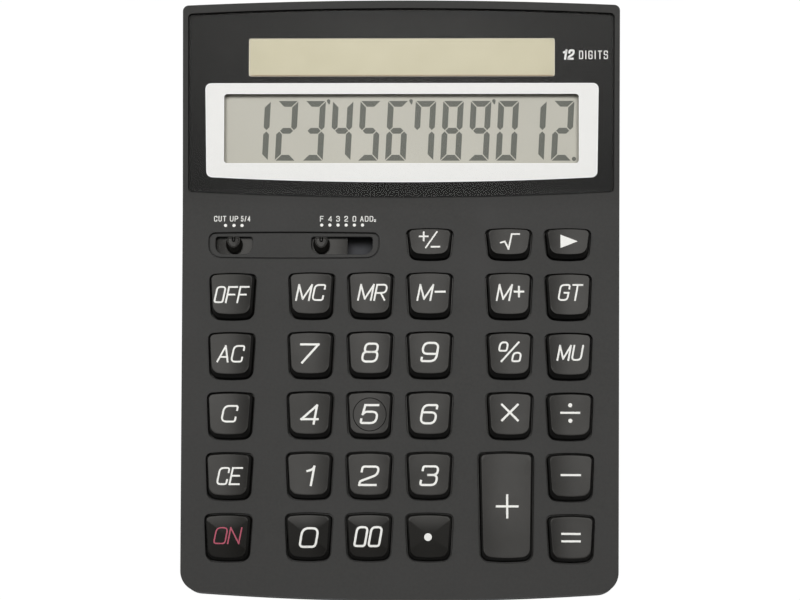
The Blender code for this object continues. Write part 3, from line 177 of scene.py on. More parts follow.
def four_sided(widths, length, corners, bows=(0, 0), centre=(0, 0), grow=0.0, run=8):
    """An outline from the middle of its front, anticlockwise, with its rear's and front's
    widths, corner radii and bows: straight runs and quarter circles, each point then moved
    out by bow x (1 - share of the width squared)."""
    rear_half, front_half = widths[0] / 2 + grow, widths[1] / 2 + grow
    rear_corner, front_corner = corners[0] + grow, corners[1] + grow
    half = length / 2 + grow
    steps = np.linspace(0, 1, run + 1)[:-1]
    angle = np.linspace(0, math.pi / 2, 7)
    x = np.concatenate([
        (front_half - front_corner) * steps,
        front_half - front_corner + front_corner * np.sin(angle),
        rear_half - rear_corner + rear_corner * np.cos(angle),
        (rear_half - rear_corner) * steps[::-1],
    ])
    y = np.concatenate([
        np.full(run, -half), front_corner - half - front_corner * np.cos(angle),
        half - rear_corner + rear_corner * np.sin(angle), np.full(run, half),
    ])
    share = x / np.where(y > 0, rear_half, front_half)
    y = y + np.where(y > 0, bows[0], -bows[1]) * (1 - share**2) * np.abs(y) / half
    return mirrored(x, y) + centre


def circle(centre, radius, sides=40):
    """An anticlockwise circle: cosine and sine of equal angles."""
    angle = np.linspace(0, 2 * math.pi, sides, endpoint=False) - math.pi / 2
    return np.stack([np.cos(angle), np.sin(angle)], -1) * radius + centre


def raised(outline, height):
    """The outline at a height, which is a number or one for each point."""
    return np.column_stack([outline, np.broadcast_to(height, len(outline))])


def skin(rings, start="flat", end="flat"):
    """A closed form: quads between neighbouring rings, and over each end one flat face, a
    ladder of rungs between mirrored points, or triangles to the pole at the ring's middle."""
    rings = np.asarray(rings, float)
    count, around = rings.shape[:2]
    points = rings.reshape(-1, 3)
    row, place = np.mgrid[0 : count - 1, 0:around]
    after = (place + 1) % around
    below, above = row * around, (row + 1) * around
    faces = [np.stack([below + place, below + after, above + after, above + place], -1).reshape(-1, 4)]
    for kind, base, turned in ((start, 0, True), (end, (count - 1) * around, False)):
        if kind == "flat":
            cap = np.arange(around)[None, :]
        elif kind == "pole":
            middle = points[base : base + around].mean(0)
            points = np.vstack([points, middle])
            cap = np.stack([place[0], after[0], np.full(around, len(points) - 1 - base)], -1)
        else:
            step = np.arange(1, around // 2 - 1)
            rungs = np.stack([step, step + 1, around - step - 1, around - step], -1)
            last = around // 2
            faces.append(np.array([[last - 1, last, last + 1]])[:, :: -1 if turned else 1] + base)
            faces.append(np.array([[0, 1, around - 1]])[:, :: -1 if turned else 1] + base)
            cap = rungs
        faces.append(cap[:, ::-1] + base if turned else cap + base)
    return points, faces


def tube(rings):
    """A closed form without ends: quads between each ring and the next, and back to the first."""
    rings = np.asarray(rings, float)
    count, around = rings.shape[:2]
    row, place = np.mgrid[0:count, 0:around]
    after, above = (place + 1) % around, (row + 1) % count
    corners = (row * around + place, row * around + after, above * around + after, above * around + place)
    return rings.reshape(-1, 3), [np.stack(corners, -1).reshape(-1, 4)]


def on_slope(form, tilt, shift=(0, 0, 0)):
    """A form in the deck's or the hood's own frame, shifted there and turned into the world:
    its frame starts at the crease and leans back by the tilt."""
    x, y, z = (form[0] + shift).T
    back = CREASE_Y + y * math.cos(tilt) - z * math.sin(tilt)
    up = CREASE_Z + y * math.sin(tilt) + z * math.cos(tilt)
    return np.stack([x, back, up], -1), form[1]


def on_deck(forms, shift=(0, 0, 0)):
    """Forms set in the deck's frame."""
    return [on_slope(form, DECK_TILT, shift) for form in forms]


def on_hood(forms):
    """Forms set in the hood's frame."""
    return [on_slope(form, HOOD_TILT) for form in forms]


def flat_ring(outer, inner, low, high):
    """A flat plate with a hole, between two outlines of equally many points."""
    return tube([raised(outer, low), raised(outer, high), raised(inner, high), raised(inner, low)])


def shaft(outline, low, high):
    """A straight block over an outline."""
    return skin([raised(outline, low), raised(outline, high)])


def opening(outline, low, rounding):
    """A cutter with a soft mouth: its outline, a function of growth, widens by a quarter
    circle up to 70 degrees and then runs straight out of the surface."""
    turn = np.radians([0, 18, 36, 53, 70])
    grow = rounding * (1 - np.cos(turn))
    height = rounding * (np.sin(turn) - 1)
    out = 0.6 * rounding
    grow = [0, *grow, grow[-1] + out * math.tan(turn[-1])]
    height = [low, *height, height[-1] + out]
    rings = [raised(outline(g), h) for g, h in zip(grow, height)]
    return skin([*rings, raised(outline(grow[-1]), OVERRUN)])


def mesh_of(name, forms):
    """One mesh from forms, each its points and its lists of faces."""
    points, faces, base = [], [], 0
    for form_points, form_faces in forms:
        points.append(form_points)
        faces += [face for group in form_faces for face in (group + base).tolist()]
        base += len(form_points)
    mesh = bpy.data.meshes.new(name)
    mesh.from_pydata(np.vstack(points).tolist(), [], faces)
    return mesh


def make_piece(name, forms, material, body="case", replaces=(), sharp=SHARP_ANGLE):
    """A piece of the calculator: its mesh, smooth up to the sharp angle, its finish, the body
    that it rides on and the solids that it stands for."""
    piece = bpy.data.objects.new(name, mesh_of(name, forms))
    bpy.context.scene.collection.objects.link(piece)
    piece.data.materials.append(material)
    piece.data.shade_smooth()
    piece.data.set_sharp_from_angle(angle=math.radians(sharp))
    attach(piece, body)
    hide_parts(*replaces)
    return piece


def carve(piece, forms, operation="DIFFERENCE"):
    """Cuts the forms out of a piece, or joins them to it, with an exact Boolean."""
    tool = bpy.data.objects.new("tool", mesh_of("tool", forms))
    bpy.context.scene.collection.objects.link(tool)
    change = piece.modifiers.new("carve", "BOOLEAN")
    change.operation, change.solver, change.object = operation, "EXACT", tool
    graph = bpy.context.evaluated_depsgraph_get()
    carved = bpy.data.meshes.new_from_object(piece.evaluated_get(graph))
    piece.modifiers.remove(change)
    piece.data = carved
    bpy.data.objects.remove(tool)
    carved.shade_smooth()
    carved.set_sharp_from_angle(angle=math.radians(SHARP_ANGLE))


def weigh_normals(piece):
    """Lets the large flat faces keep their own shading beside the small rounded ones."""
    weigh = piece.modifiers.new("weighted normals", "WEIGHTED_NORMAL")
    weigh.keep_sharp = True


def colour(code):
    """An sRGB hex colour as the linear one that a shader takes."""
    share = np.array([int(code[i : i + 2], 16) for i in (1, 3, 5)]) / 255
    linear = np.where(share <= 0.04045, share / 12.92, ((share + 0.055) / 1.055) ** 2.4)
    return (*linear, 1.0)


def add_node(tree, kind, sockets=None, **settings):
    """A shader node of a kind, with its settings; sockets gives each input its value, or the
    output or the node, by its first output, that feeds it."""
    node = tree.nodes.new("ShaderNode" + kind)
    for name, value in settings.items():
        setattr(node, name, value)
    for name, value in (sockets or {}).items():
        if isinstance(value, bpy.types.Node):
            value = value.outputs[0]
        if isinstance(value, bpy.types.NodeSocket):
            tree.links.new(value, node.inputs[name])
        else:
            node.inputs[name].default_value = value
    return node


def finish(name, **sockets):
    """A new material: its tree, its shader with constants set, and object coordinates."""
    material = bpy.data.materials.new(name)
    material.use_nodes = True
    tree = material.node_tree
    shader = tree.nodes["Principled BSDF"]
    for socket, value in sockets.items():
        shader.inputs[socket.replace("_", " ")].default_value = value
    return material, tree, shader, add_node(tree, "TexCoord").outputs["Object"]


def moulded_plastic(name, code, worn_code, roughness, grain, depth, dust=0.0, ior=1.53, gloss=0.5):
    """Moulded ABS: broad faint patches where hands polish and soil it, a fine etched grain of
    the given pitch and depth, and here and there a pale speck of dust."""
    material, tree, shader, place = finish(name, IOR=ior, Roughness=roughness, Specular_IOR_Level=gloss)
    broad = {"Vector": place, "Scale": 1 / (22 * MM), "Detail": 4.0, "Roughness": 0.6}
    patches = add_node(tree, "TexNoise", broad)
    mottle = add_node(tree, "TexNoise", {"Vector": place, "Scale": 1 / (0.9 * MM), "Detail": 2.0})
    blend = add_node(tree, "Math", {0: patches, 1: mottle}, operation="MULTIPLY")
    tone = add_node(tree, "MapRange", {"Value": blend, "From Min": 0.12, "From Max": 0.38})
    paint = add_node(tree, "Mix", {0: tone, 6: colour(code), 7: colour(worn_code)}, data_type="RGBA")
    face = paint.outputs[2]
    if dust:
        specks = add_node(tree, "TexVoronoi", {"Vector": place, "Scale": 1 / (5.5 * MM)})
        rare = add_node(tree, "Math", {0: specks.outputs["Color"], 1: 1 - dust}, operation="GREATER_THAN")
        edge = {"Value": specks.outputs["Distance"], "From Min": 0.045, "From Max": 0.025}
        near = add_node(tree, "MapRange", edge)
        spot = add_node(tree, "Math", {0: rare, 1: near}, operation="MULTIPLY")
        face = add_node(tree, "Mix", {0: spot, 6: face, 7: colour("#9a9a96")}, data_type="RGBA").outputs[2]
    tree.links.new(face, shader.inputs["Base Color"])
    polish = {
        "Value": patches, "From Min": 0.3, "From Max": 0.7,
        "To Min": roughness - 0.05, "To Max": roughness + 0.05,
    }
    sheen = add_node(tree, "MapRange", polish)
    tree.links.new(sheen.outputs[0], shader.inputs["Roughness"])
    grains = add_node(tree, "TexNoise", {"Vector": place, "Scale": 1 / grain, "Detail": 3.0})
    bump = add_node(tree, "Bump", {"Height": grains, "Strength": 0.5, "Distance": depth})
    tree.links.new(bump.outputs[0], shader.inputs["Normal"])
    return material


# Black ABS with a spark-etched face: a matt, faintly grey black that shows dust. The etching's
# real pitch is about 0.1 mm; it is drawn at 0.35 mm so that it shows.
case_abs = moulded_plastic(
    "case_etched_abs", "#303030", "#373736", 0.46, 0.35 * MM, 0.02 * MM, dust=0.05, gloss=0.62,
)

# The edge's rings. Each is set in by as much as it lies below the top, so the edge is a thin
# lip that leans out at 45 degrees; the real one is rounded.
insets = EDGE_ROUND * (1 - np.sin(np.radians(np.linspace(0, 90, 6))))
outside, inside = case_plan(-UPPER_DRAFT), case_plan(UPPER_WALL)
case_rings = [raised(inside, inner_height(inside[:, 1])), raised(inside, parting_height(inside[:, 1]))]
case_rings.append(raised(outside, parting_height(outside[:, 1])))
for inset in insets:
    plan = case_plan(inset)
    case_rings.append(raised(plan, top_height(plan[:, 1]) - inset))
upper_case = make_piece(
    "upper_case_shell", [skin(case_rings, "ladder", "ladder")], case_abs,
    replaces=["upper_case"],
)

small_keys = zip(("key_sign", "key_root", "key_back"), COLUMNS[3:])
places = {name: ("small", x, SMALL_ROW_Y) for name, x in small_keys}
for row, names in enumerate(KEY_ROWS):
    for name, x in zip(names, COLUMNS):
        if name:
            places[name] = ("square", x, FIRST_ROW_Y - row * ROW_PITCH - ROW_SAG * (x / COLUMNS[5]) ** 2)
places["key_plus"] = ("tall", 36.2 * MM, -105.575 * MM)


def key_outline(kind, grow=0.0, centre=(0, 0)):
    """The foot of a keycap of one kind, or its hole when grown by the clearance."""
    rear, front, length = KEY_SIZES[kind]
    return four_sided((rear, front), length, KEY_CORNERS, KEY_BOWS, centre, grow)


def panel_outline(grow=0.0):
    """The display window's outline, wider at the rear and bowed at both ends."""
    centre = (0, (PANEL_FRONT_Y + PANEL_REAR_Y) / 2)
    length = PANEL_REAR_Y - PANEL_FRONT_Y
    return four_sided(PANEL_WIDTHS, length, (PANEL_CORNER, PANEL_CORNER), PANEL_BOWS, centre, grow, run=14)


def boxed(x, y, width, length, corner=0.8 * MM, grow=0.0):
    """A rounded rectangle about its middle."""
    return four_sided((width, width), length, (corner, corner), centre=(x, y), grow=grow)


def slot_outline(left, right, grow=0.0):
    """A switch's slot: nearly square at the rear and well rounded in front."""
    centre = ((left + right) / 2, STRIP_Y)
    return four_sided((right - left,) * 2, SLOT_LENGTH, SLOT_CORNERS, centre=centre, grow=grow)


def strip_outline(grow=0.0):
    """The sunk strip round both switches."""
    size, centre = STRIP_RIGHT - STRIP_LEFT, (STRIP_LEFT + STRIP_RIGHT) / 2
    place = (centre, STRIP_Y)
    return four_sided((size, size), STRIP_LENGTH, STRIP_CORNERS, STRIP_BOWS, place, grow)


bosses, pilots = [], []
for x, y, post, root in SCREWS.values():
    bosses.append(shaft(circle((x, y), BOSS_RADIUS), post + SEAT_GAP, root))
    end = post + SCREW_BITE + SEAT_GAP
    pilots.append(shaft(circle((x, y), PILOT_RADIUS), post - OVERRUN, end))
carve(upper_case, bosses, "UNION")
carve(upper_case, pilots)
low = -DECK_THICKNESS - OVERRUN
holes = []
for kind, x, y in places.values():
    hole = lambda grow, kind=kind, x=x, y=y: key_outline(kind, KEY_CLEARANCE + grow, (x, y))
    holes.append(opening(hole, low, HOLE_ROUND))
holes.append(opening(strip_outline, -STRIP_DEPTH, STRIP_ROUND))
carve(upper_case, on_deck(holes))
groove = (strip_outline(0.02 * MM), strip_outline(-GROOVE_WIDTH), -GROOVE_DEPTH, -0.3 * MM)
carve(upper_case, on_deck([flat_ring(*groove)]))
slots = [opening(lambda grow, ends=ends: slot_outline(*ends, grow), low, SLOT_ROUND) for ends in SLOTS]
carve(upper_case, on_deck(slots, (0, 0, -STRIP_DEPTH)))
pocket = opening(lambda grow: panel_outline(POCKET_GAP + grow), POCKET_FLOOR, POCKET_ROUND)
carve(upper_case, on_hood([pocket]))
beds = [shaft(boxed(*LCD_BED), -HOOD_THICKNESS - OVERRUN, 0), shaft(boxed(*SOLAR_BED), BED_FLOOR, 0)]
carve(upper_case, on_hood(beds))
weigh_normals(upper_case)


# Display window. A clear acrylic sheet, cut to shape, screen printed on its back in white
# round the display and black over the rest, and held in its pocket by adhesive tape.
WINDOW_TOP, WINDOW_BACK, INK = mm(-0.1, -1.6, 0.05)
MIRROR = 0.008
FRAME_WIDTHS, FRAME_LENGTH, FRAME_CENTRE = mm(137.8, 136.9), 33.0 * MM, mm(0.25, 25.45)
FRAME_CORNERS, FRAME_BOWS, FRAME_LINE = mm(2, 2), (0, 1.8 * MM), 0.22 * MM
LCD_OPENING = mm(0.1, 25.98, 124.3, 24.35, 1.2)  # the last is the corner
SOLAR_OPENING = mm(0.22, 51.06, 107.25, 13.5)


def clear_sheet(name, roughness):
    """Clear coated acrylic: see-through, but for a mirrored share, on each face, of
    MIRROR + (1 - MIRROR) x (1 - cosine)^5."""
    material, tree, shader, _ = finish(name)
    clear = add_node(tree, "BsdfTransparent")
    gloss = add_node(tree, "BsdfGlossy", {"Roughness": roughness})
    aslant = add_node(tree, "LayerWeight", {"Blend": 0.5})
    steep = add_node(tree, "Math", {0: aslant.outputs["Facing"], 1: 5.0}, operation="POWER")
    share = add_node(tree, "Math", {0: steep, 1: 1 - MIRROR, 2: MIRROR}, operation="MULTIPLY_ADD")
    both = add_node(tree, "MixShader", {0: share, 1: clear, 2: gloss})
    tree.links.new(both.outputs[0], tree.nodes["Material Output"].inputs["Surface"])
    tree.nodes.remove(shader)
    return material


def even_coat(name, code, fade_code, roughness=0.5, gloss=0.5, size=1.6 * MM, **sockets):
    """Ink or film: an even coat, very slightly mottled at a real size."""
    sockets.update(Roughness=roughness, Specular_IOR_Level=gloss)
    material, tree, shader, place = finish(name, **sockets)
    coat = add_node(tree, "TexNoise", {"Vector": place, "Scale": 1 / size, "Detail": 3.0})
    paint = add_node(tree, "Mix", {0: coat, 6: colour(code), 7: colour(fade_code)}, data_type="RGBA")
    tree.links.new(paint.outputs[2], shader.inputs["Base Color"])
    return material


def rounded_plate(outline, low, high, edge):
    """A flat plate whose edges are eased by quarter circles; outline is a function of growth."""
    turn = np.radians(np.linspace(0, 90, 4))
    grow, rise = edge * (np.sin(turn) - 1), edge * (1 - np.cos(turn))
    rings = [raised(outline(g), low + r) for g, r in zip(grow, rise)]
    rings += [raised(outline(g), high - r) for g, r in zip(grow[::-1], rise[::-1])]
    return skin(rings, "ladder", "ladder")


# Polished acrylic sheet: clear and glassy, with a soft sheen of the room on it.
window_acrylic = clear_sheet("window_polished_acrylic", 0.03)
# White and black screen inks, even coats on the sheet's back. The white has no gloss of its
# own; the black one carries the sheet's, so that the window looks deep and polished. The
# brighter white of the thin lines along the frame's edges is painted highlight.
white_ink = even_coat("window_white_ink", "#ebebe9", "#f0f0ee", gloss=0.0)
edge_highlight_ink = even_coat("window_painted_edge_highlight", "#fbfcfc", "#ffffff", gloss=0.0)
black_ink = even_coat("window_black_ink", "#0d0e0e", "#101111", 0.14, gloss=0.3)

window = rounded_plate(panel_outline, WINDOW_BACK + 2 * INK, WINDOW_TOP, 0.2 * MM)
window = make_piece(
    "window_sheet", on_hood([window]), window_acrylic,
    replaces=["display_window"],
)


def frame_outline(grow=0.0):
    """The white frame: straight at the rear and bowed forward in front."""
    return four_sided(FRAME_WIDTHS, FRAME_LENGTH, FRAME_CORNERS, FRAME_BOWS, FRAME_CENTRE, grow)


back = WINDOW_BACK + INK
# The frame: white ink over its face, and along each edge a thin band of painted highlight.
bands = [
    ("frame_edge_highlight", frame_outline(), frame_outline(-FRAME_LINE), edge_highlight_ink),
    ("frame_face", frame_outline(-FRAME_LINE), boxed(*LCD_OPENING, FRAME_LINE), white_ink),
    ("frame_inner_edge_highlight", boxed(*LCD_OPENING, FRAME_LINE), boxed(*LCD_OPENING), edge_highlight_ink),
]
for name, outer, inner, ink in bands:
    ring = flat_ring(outer, inner, back - INK, back)
    make_piece(name, on_hood([ring]), ink)
coat = shaft(panel_outline(-0.05 * MM), back - INK, back)
black_print = make_piece("black_print", on_hood([coat]), black_ink)
bare = [shaft(outline, back - MM, back + MM) for outline in (frame_outline(), boxed(*SOLAR_OPENING))]
carve(black_print, on_hood(bare))


# Solar cell. An amorphous silicon cell on glass behind a cream diffusing film, lying in its bed
# in the hood, with its silvered bus line along the front.
SOLAR_SIZE = mm(0.2, 50.78, 109.3, 15.4)
SOLAR_BUS = mm(0.22, 44.62, 106.2, 0.3, 0.1)
SOLAR_BACK, SOLAR_FACE = mm(-3.0, -1.95)

# Cream diffusing film: warm, a little uneven, with the cell faintly brown through it.
cell_film = even_coat("solar_cream_film", "#cbc5aa", "#d9d3b9", 0.35, size=9 * MM, IOR=1.5)
# Silvered border, pale as paper, and the brown varnish over the cell's bus line.
pale_line = even_coat("solar_pale_border", "#e9e4cf", "#efead8")
brown_line = even_coat("solar_brown_bus", "#8a6d52", "#967a5e")
cell = rounded_plate(lambda grow: boxed(*SOLAR_SIZE, grow=grow), SOLAR_BACK, SOLAR_FACE, 0.1 * MM)
make_piece("solar_cell_film", on_hood([cell]), cell_film, replaces=["solar_cell"])
outer, inner = boxed(*SOLAR_OPENING, grow=0.3 * MM), boxed(*SOLAR_OPENING, grow=-0.28 * MM)
border = flat_ring(outer, inner, SOLAR_FACE, SOLAR_FACE + 0.05 * MM)
make_piece("solar_border", on_hood([border]), pale_line)
bus = shaft(boxed(*SOLAR_BUS), SOLAR_FACE, SOLAR_FACE + 0.07 * MM)
make_piece("solar_bus", on_hood([bus]), brown_line)


# Liquid crystal display. Two sheets of glass under a grey-green polarising film, seated on the
# striped rubber connector; its digits are segments of darkened liquid crystal.
LCD_TOP, LCD_SIZE = -4.3 * MM, mm(0.2, 25.76, 128.9, 29.24)
DIGIT_TOP, DIGIT_BOTTOM, DIGIT_WIDTH, DIGIT_PITCH = mm(36.05, 14.98, 7.2, 9.706)
FIRST_DIGIT_RIGHT, SEGMENT, SEGMENT_GAP = mm(-45.85, 2.05, 0.25)
DIGIT_SLANT = math.tan(math.radians(2.9))
LCD_THICKNESS, FILM_GAP = mm(2.2, 0.03)
COMMAS, POINT, POINT_RADIUS = mm(-25.46, 3.58, 32.68), mm(60.73, 15.6), 0.75 * MM


def lcd_film(name):
    """The polariser over the reflector: grey with a green cast, paler in broad soft clouds."""
    material, tree, shader, place = finish(name, Roughness=0.4, Specular_IOR_Level=0.2)
    cloud = add_node(tree, "TexNoise", {"Vector": place, "Scale": 1 / (30 * MM), "Detail": 2.0})
    grain = add_node(tree, "TexNoise", {"Vector": place, "Scale": 1 / (0.3 * MM), "Detail": 2.0})
    both = add_node(tree, "Math", {0: cloud, 1: grain}, operation="MULTIPLY")
    paint = add_node(tree, "Mix", {0: both, 6: colour("#bfbdb2"), 7: colour("#d6d4ca")}, data_type="RGBA")
    tree.links.new(paint.outputs[2], shader.inputs["Base Color"])
    return material


display_film = lcd_film("lcd_polariser_film")
# Darkened liquid crystal: a soft grey with a slightly green cast, never quite black.
crystal = even_coat("lcd_dark_crystal", "#6a6c66", "#72746d", 0.4, gloss=0.2)
low, high = LCD_TOP - LCD_THICKNESS, LCD_TOP - FILM_GAP
glass = rounded_plate(lambda grow: boxed(*LCD_SIZE, grow=grow), low, high, 0.1 * MM)
make_piece("lcd_stack", on_hood([glass]), display_film, replaces=["lcd_glass"])


def digit_segments(digit, right):
    """The segments of one digit as six sided outlines in a box 7.2 x 21.1 mm, mitred at 45
    degrees where they meet, then leant by the slant from the top."""
    w, h, t, g = DIGIT_WIDTH, DIGIT_TOP - DIGIT_BOTTOM, SEGMENT, SEGMENT_GAP
    m = h / 2
    a = [(g, h), (w - g, h), (w - g - t / 2, h - t / 2)]
    a += [(w - g - t, h - t), (g + t, h - t), (g + t / 2, h - t / 2)]
    bar = [(g + t / 2, m), (g + t, m - t / 2), (w - g - t, m - t / 2)]
    bar += [(w - g - t / 2, m), (w - g - t, m + t / 2), (g + t, m + t / 2)]
    b = [(w, h - g), (w - t, h - g - t), (w - t, m + g + t / 2)]
    b += [(w - t / 2, m + g), (w, m + g + t / 2), (w, h / 2 + m / 2)]
    top = dict(a=a, b=b, g=bar, f=[(w - x, y) for x, y in b])
    low = {name: [(x, h - y) for x, y in top[above]] for name, above in zip("dce", "abf")}
    shapes = np.array([{**top, **low}[name] for name in digit])
    x, y = shapes[..., 0], shapes[..., 1]
    return np.stack([x + right - w + (y - h) * DIGIT_SLANT, y + DIGIT_BOTTOM], -1)


def inked(outlines, low, high, height=lambda x, y: 0 * x):
    """Thin islands of ink over convex outlines, turned anticlockwise first, that follow the
    height function."""
    forms = []
    for outline in outlines:
        x, y = np.asarray(outline).T
        area = (x * np.roll(y, -1) - y * np.roll(x, -1)).sum()
        outline = np.asarray(outline)[:: 1 if area > 0 else -1]
        rise = height(*outline.T)
        forms.append(skin([raised(outline, rise + low), raised(outline, rise + high)], "pole", "pole"))
    return forms


SEGMENTS = ("abcdef", "bc", "abged", "abgcd", "fgbc", "afgcd", "acdefg", "abcf", "abcdefg", "abcdfg")
outlines = []
for place, digit in enumerate("123456789012"):
    right = FIRST_DIGIT_RIGHT + place * DIGIT_PITCH
    outlines += list(digit_segments(SEGMENTS[int(digit)], right))
outlines.append(circle(POINT, POINT_RADIUS, 20))
angle = np.linspace(0, math.pi, 12)
for x in COMMAS:
    head = np.stack([np.cos(angle), np.sin(angle)], -1) * 0.62 * MM + (x - 0.05 * MM, 36.05 * MM)
    tail = np.array([(-0.5, 35.6), (0.1, 34.7), (0.45, 35.2)]) * MM + (x, 0)
    outlines.append(np.vstack([head, tail]))
segments = inked(outlines, LCD_TOP - FILM_GAP, LCD_TOP - FILM_GAP / 3)
make_piece("lcd_segments", on_hood(segments), crystal)


# Words and signs. Each is a line of ink of even width with round ends, pad printed on the keys
# and screen printed on the deck and the window.
STROKES = {  # each stroke's points, in hundredths of the letter's width and height
    "0": "50,0 100,0 100,100 0,100 0,0 50,0",
    "1": "100,0 100,100; 100,100 75,84 0,76",
    "2": "0,74 0,100 100,100 100,56 0,20 0,0; 0,0 100,0",
    "3": "0,80 0,100 98,100 98,54 40,54; 40,54 100,54 100,0 0,0 0,22",
    "4": "90,0 90,100; 90,100 0,24; 0,24 112,24",
    "5": "95,100 10,100; 10,100 3,50; 3,50 20,63 100,63 100,0 0,0 0,20",
    "6": "97,82 97,100 0,100 0,0 100,0 100,60 2,60",
    "7": "0,100 100,100; 100,100 7,0",
    "8": "50,54 93,54 93,100 7,100 7,54 50,54; 50,54 100,54 100,0 0,0 0,54 50,54",
    "9": "3,18 3,0 100,0 100,100 0,100 0,40 98,40",
    "A": "0,0 50,100; 50,100 100,0; 18,30 82,30",
    "C": "100,74 100,100 0,100 0,0 100,0 100,26",
    "D": "0,0 0,100; 0,100 100,100 100,0 0,0",
    "E": "0,0 0,100; 0,100 100,100; 0,52 86,52; 0,0 100,0",
    "F": "0,0 0,100; 0,100 100,100; 0,50 86,50",
    "G": "100,76 100,100 0,100 0,0 100,0 100,48; 100,48 55,48",
    "I": "50,0 50,100",
    "M": "0,0 0,100; 0,100 50,8; 50,8 100,100; 100,100 100,0",
    "N": "0,0 0,100; 0,100 100,0; 100,0 100,100",
    "O": "50,0 100,0 100,100 0,100 0,0 50,0",
    "P": "0,0 0,100; 0,100 100,100 100,45 0,45",
    "R": "0,0 0,100; 0,100 100,100 100,46 0,46; 50,46 100,0",
    "S": "100,78 100,100 0,100 0,52 100,52 100,0 0,0 0,22",
    "T": "0,100 100,100; 50,100 50,0",
    "U": "0,100 0,0 100,0 100,100",
    "%": "16,55 34,55 34,100 0,100 0,55 16,55; 84,0 100,0 100,45 66,45 66,0 84,0; 20,0 80,100",
    "+": "0,50 100,50; 50,0 50,100",
    "-": "0,50 100,50",
    "/": "0,0 100,100",
    "=": "0,100 100,100; 0,0 100,0",
    "x": "0,0 100,100; 0,100 100,0",
    "r": "0,42 22,50; 22,50 42,0; 42,0 60,100; 60,100 100,100",
}
LETTERS = {}
for letter, strokes in STROKES.items():
    points = [[point.split(",") for point in stroke.split()] for stroke in strokes.split(";")]
    LETTERS[letter] = [np.array(stroke, int) / 100 for stroke in points]
LETTER_WIDTHS = {"M": 1.25, "I": 0.2, "1": 0.5, "%": 1.35, "/": 0.6, " ": 0.35}


def rounded_path(corners, radius):
    """A path through corner points, each inner one replaced by the quadratic curve from a
    radius before it to a radius after it, never more than half of a side."""
    corners = np.asarray(corners, float)
    side = np.diff(corners, axis=0)
    length = np.linalg.norm(side, axis=1)
    ahead = side / length[:, None]
    middle = corners[1:-1]
    reach = np.minimum(radius, np.minimum(length[:-1], length[1:]) / 2)[:, None, None]
    t = np.linspace(0, 1, 8)[None, :, None]
    before = middle[:, None] - ahead[:-1, None] * reach
    after = middle[:, None] + ahead[1:, None] * reach
    curve = (1 - t) ** 2 * before + 2 * t * (1 - t) * middle[:, None] + t**2 * after
    return np.vstack([corners[:1], curve.reshape(-1, 2), corners[-1:]])


def stroke(path, width, height, thickness=0.02 * MM, squareness=8):
    """A thin line of ink along a path, lying on the height function and reaching as far into
    it as above it. It runs on by half its width at both ends, where that half width falls as
    (1 - t^n)^(1/n): n = 2 ends it in a half circle, and a larger n more squarely."""
    first, last = path[0] - path[1], path[-1] - path[-2]
    reach = width / 2 / np.linalg.norm([first, last], axis=1)
    path = np.vstack([path[:1] + first * reach[0], path, path[-1:] + last * reach[1]])
    length = np.concatenate([[0], np.cumsum(np.linalg.norm(np.diff(path, axis=0), axis=1))])
    total, radius = length[-1], width / 2
    bend = radius * (1 - np.cos(np.radians(np.linspace(0, 90, 7))))
    even = np.arange(radius, total - radius, 0.6 * MM)
    turns = length[(length > radius) & (length < total - radius)]
    at = np.unique(np.concatenate([bend, total - bend, even, turns]))
    at = at[(at >= 0) & (at <= total)]
    at = at[np.concatenate([[True], np.diff(at) > 1e-6])]
    line = np.stack([np.interp(at, length, path[:, 0]), np.interp(at, length, path[:, 1])], -1)
    ahead = np.gradient(line, at, axis=0)
    ahead /= np.linalg.norm(ahead, axis=1)[:, None]
    end = np.clip(np.minimum(at, total - at) / radius, 0, 1)
    half = (radius * np.maximum(1 - (1 - end) ** squareness, 0.002) ** (1 / squareness))[:, None]
    side = np.stack([-ahead[:, 1], ahead[:, 0]], -1) * half
    left, right = line + side, line - side
    rings = []
    for edge, rise in ((left, -thickness), (right, -thickness), (right, thickness), (left, thickness)):
        rings.append(np.column_stack([edge, height(*edge.T) + rise]))
    return skin(np.stack(rings, 1)[:, ::-1])


def word(text, box, width, height, slant=11.0, corner=0.4, gap=0.55, squareness=8):
    """The strokes of a word that fills a box (left, right, bottom, top): letters of their own
    widths, a gap apart, leant by the slant from the bottom."""
    left, right, bottom, top = np.array(box) * MM + np.array([1, -1, 1, -1]) * width / 2
    lean = math.tan(math.radians(slant))
    tall = top - bottom
    shares = np.array([LETTER_WIDTHS.get(letter, 1.0) for letter in text])
    spaces = (gap * MM + width) * (len(text) - 1)
    widths = (right - left - tall * lean - spaces) * shares / shares.sum()
    starts = left + np.concatenate([[0], np.cumsum(widths[:-1] + gap * MM + width)])
    forms = []
    for letter, start, wide in zip(text, starts, widths):
        for corners in LETTERS.get(letter, []):
            path = rounded_path(np.array(corners) * (wide, tall), corner * min(wide, tall))
            path = path + (start, bottom)
            path[:, 0] += (path[:, 1] - bottom) * lean
            forms.append(stroke(path, width, height, squareness=squareness))
    return forms


# Warm white and dull red pad-printed inks, matt, a few hundredths of a millimetre thick.
key_ink = even_coat("key_white_ink", "#f0f0ec", "#fafaf6", 0.55)
red_ink = even_coat("key_red_ink", "#b4566a", "#be6274", 0.55)
on_back = lambda x, y: back + 0 * x
twelve = word("12", (56.35, 60.9, 50.1, 53.75), 0.72 * MM, on_back, 9, gap=0.45)
twelve += word("DIGITS", (62.3, 72.4, 50.3, 53.3), 0.36 * MM, on_back, 0, 0.3, gap=0.62)
make_piece("window_digits_label", on_hood(twelve), white_ink)


